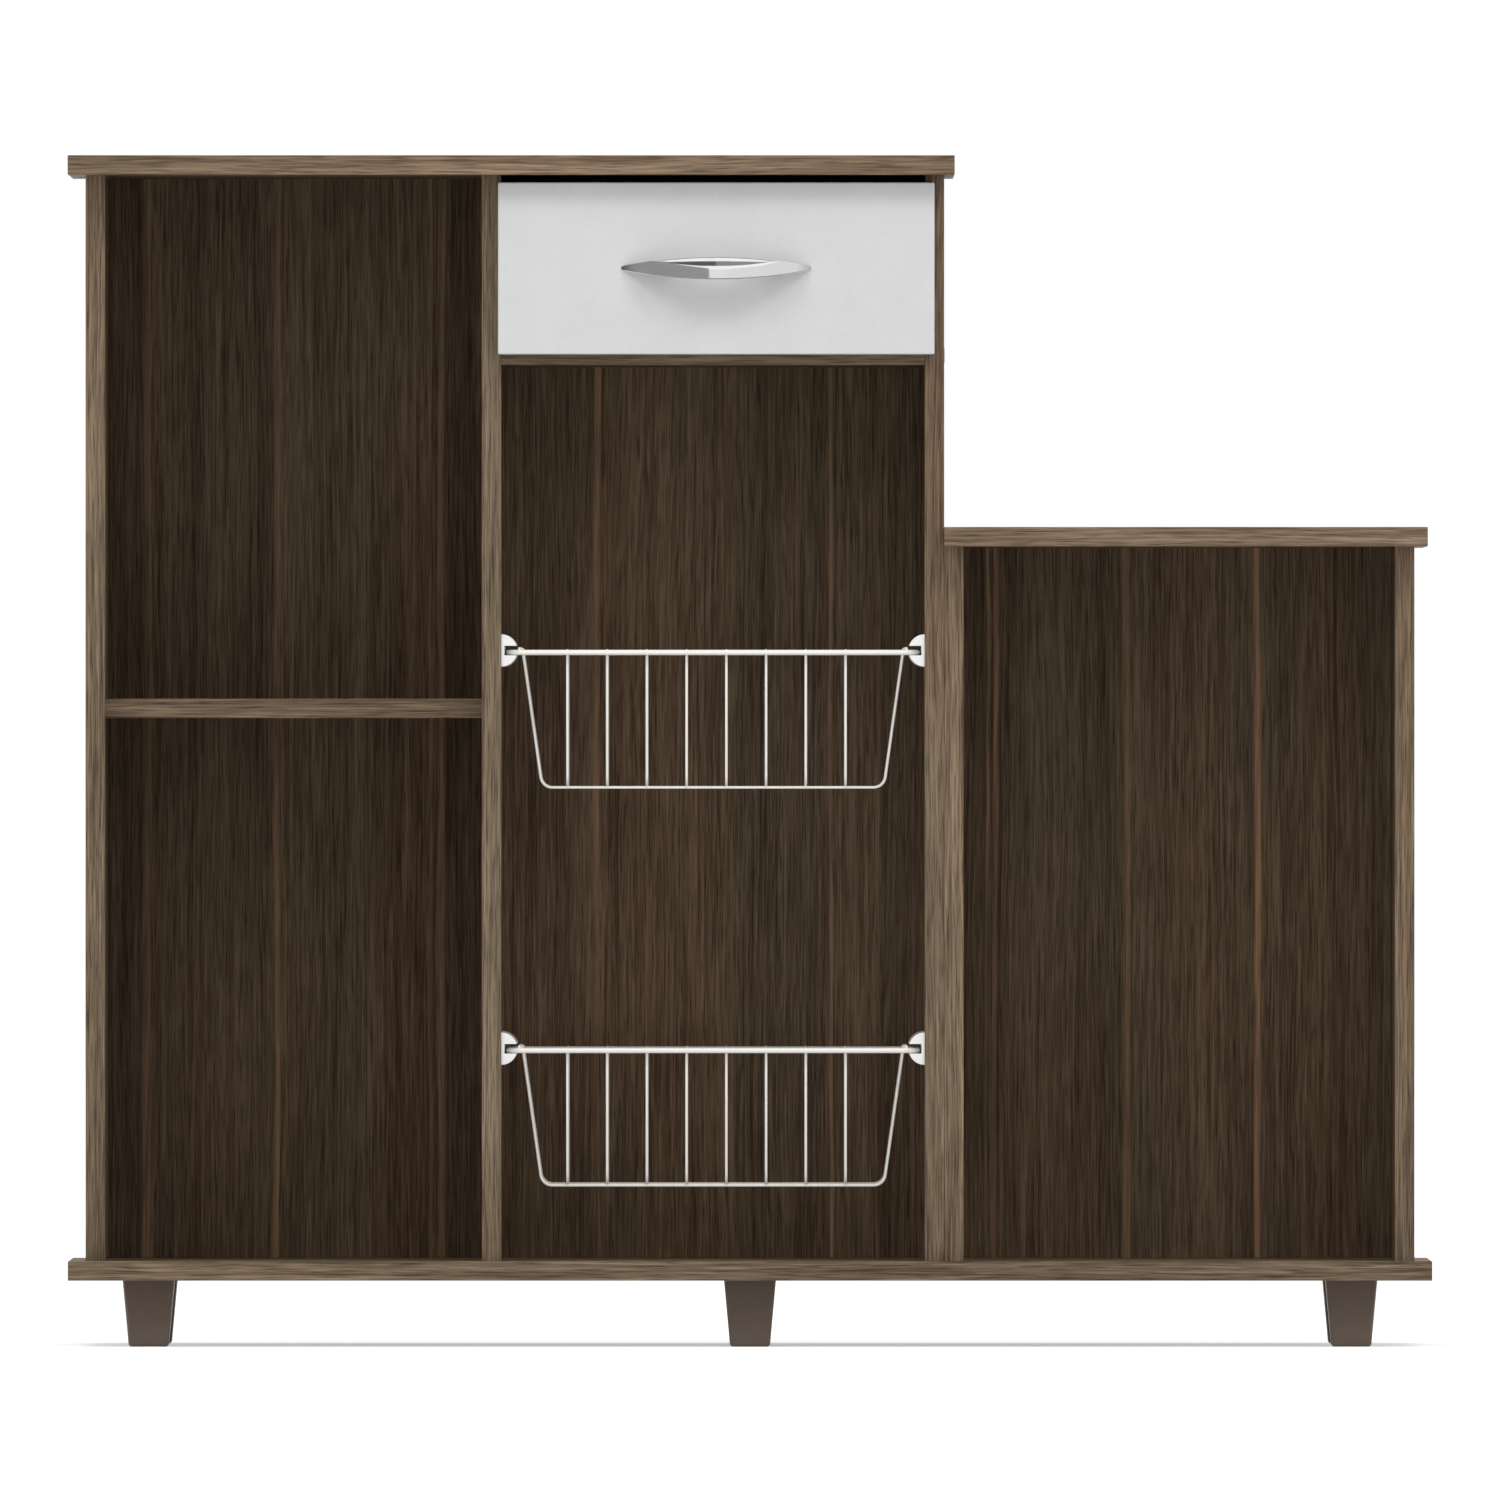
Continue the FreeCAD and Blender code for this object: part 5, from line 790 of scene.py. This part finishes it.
def make_cards():
    """Grey cards before the unit, overhead and on the floor, mirrored by bright metal alone."""
    cards = []
    for name, (end_paint, inner_paint, far, near) in STANDING_CARDS.items():
        finish = Finish(name).set(Roughness=1.0, Specular_IOR_Level=0.0)
        inwards = finish.fit(finish.axis(X), far[X], near[X])
        stops = zip(CARD_FADE, ((end_paint,) * 3, (inner_paint,) * 3))
        finish.set(Base_Color=finish.ramp(inwards, list(stops)))
        corners = [(far[X], far[Y], 0), (near[X], near[Y], 0), near, far]
        cards.append(stage_sheet(name, corners, finish))
    for name, (shade, (left, right), (front, rear), height) in FLAT_CARDS.items():
        finish = Finish(name).set(
            Base_Color=(shade,) * 3 + (1,), Roughness=1.0, Specular_IOR_Level=0.0)
        spots = (left, rear), (right, rear), (right, front), (left, front)
        cards.append(stage_sheet(name, [(*spot, height) for spot in spots], finish))
    for card in cards:
        card.visible_camera = card.visible_diffuse = card.visible_shadow = False


def make_sky():
    """White where it is seen, directly or in metal, and an even soft light on everything else."""
    world = bpy.data.worlds.new("studio_sky")
    bpy.context.scene.world = world
    world.use_nodes = True
    tree = world.node_tree
    seen = tree.nodes.new("ShaderNodeLightPath").outputs
    shown = seen["Is Camera Ray"]
    for ray in ("Is Glossy Ray", "Is Transmission Ray"):
        either = tree.nodes.new("ShaderNodeMath")
        either.operation = "MAXIMUM"
        tree.links.new(shown, either.inputs[0])
        tree.links.new(seen[ray], either.inputs[1])
        shown = either.outputs["Value"]
    strength = tree.nodes.new("ShaderNodeMapRange")
    strength.inputs["To Min"].default_value = SKY_LIGHT
    strength.inputs["To Max"].default_value = 1.0
    tree.links.new(shown, strength.inputs["Value"])
    background = tree.nodes["Background"]
    background.inputs["Color"].default_value = WHITE
    tree.links.new(strength.outputs["Result"], background.inputs["Strength"])


def make_lamps():
    """Two soft square lamps above the front of the unit."""
    for name, spot in LAMPS.items():
        data = bpy.data.lights.new(name, "AREA")
        data.energy, data.size = LAMP_WATTS, LAMP_SIZE
        lamp = bpy.data.objects.new(name, data)
        lamp.location = spot
        aim = Vector(LAMP_TARGET) - lamp.location
        lamp.rotation_euler = aim.to_track_quat("-Z", "Y").to_euler()
        lamp.visible_camera = lamp.visible_glossy = False
        bpy.context.scene.collection.objects.link(lamp)


def make_camera():
    """Straight from the front, with the photograph's width at the front edges of the uprights."""
    data = bpy.data.cameras.new("front_camera")
    data.lens, data.sensor_width = CAMERA_LENS, CAMERA_SENSOR
    data.clip_end = CAMERA_REACH
    camera = bpy.data.objects.new("front_camera", data)
    distance = PHOTO_PIXELS * METRES_PER_PIXEL * CAMERA_LENS / CAMERA_SENSOR
    height = (FLOOR_ROW - PHOTO_PIXELS / 2) * METRES_PER_PIXEL
    camera.location = (0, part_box("left_side_panel")[0].y - distance, height)
    camera.rotation_euler = (math.pi / 2, 0, 0)
    bpy.context.scene.collection.objects.link(camera)
    bpy.context.scene.camera = camera


bpy.context.scene.view_settings.view_transform = "Standard"
dress_small_nodes()
dress_boards()
make_handle()
for basket in ("upper", "lower"):
    make_basket(basket)
make_floor()
make_cards()
make_sky()
make_lamps()
make_camera()
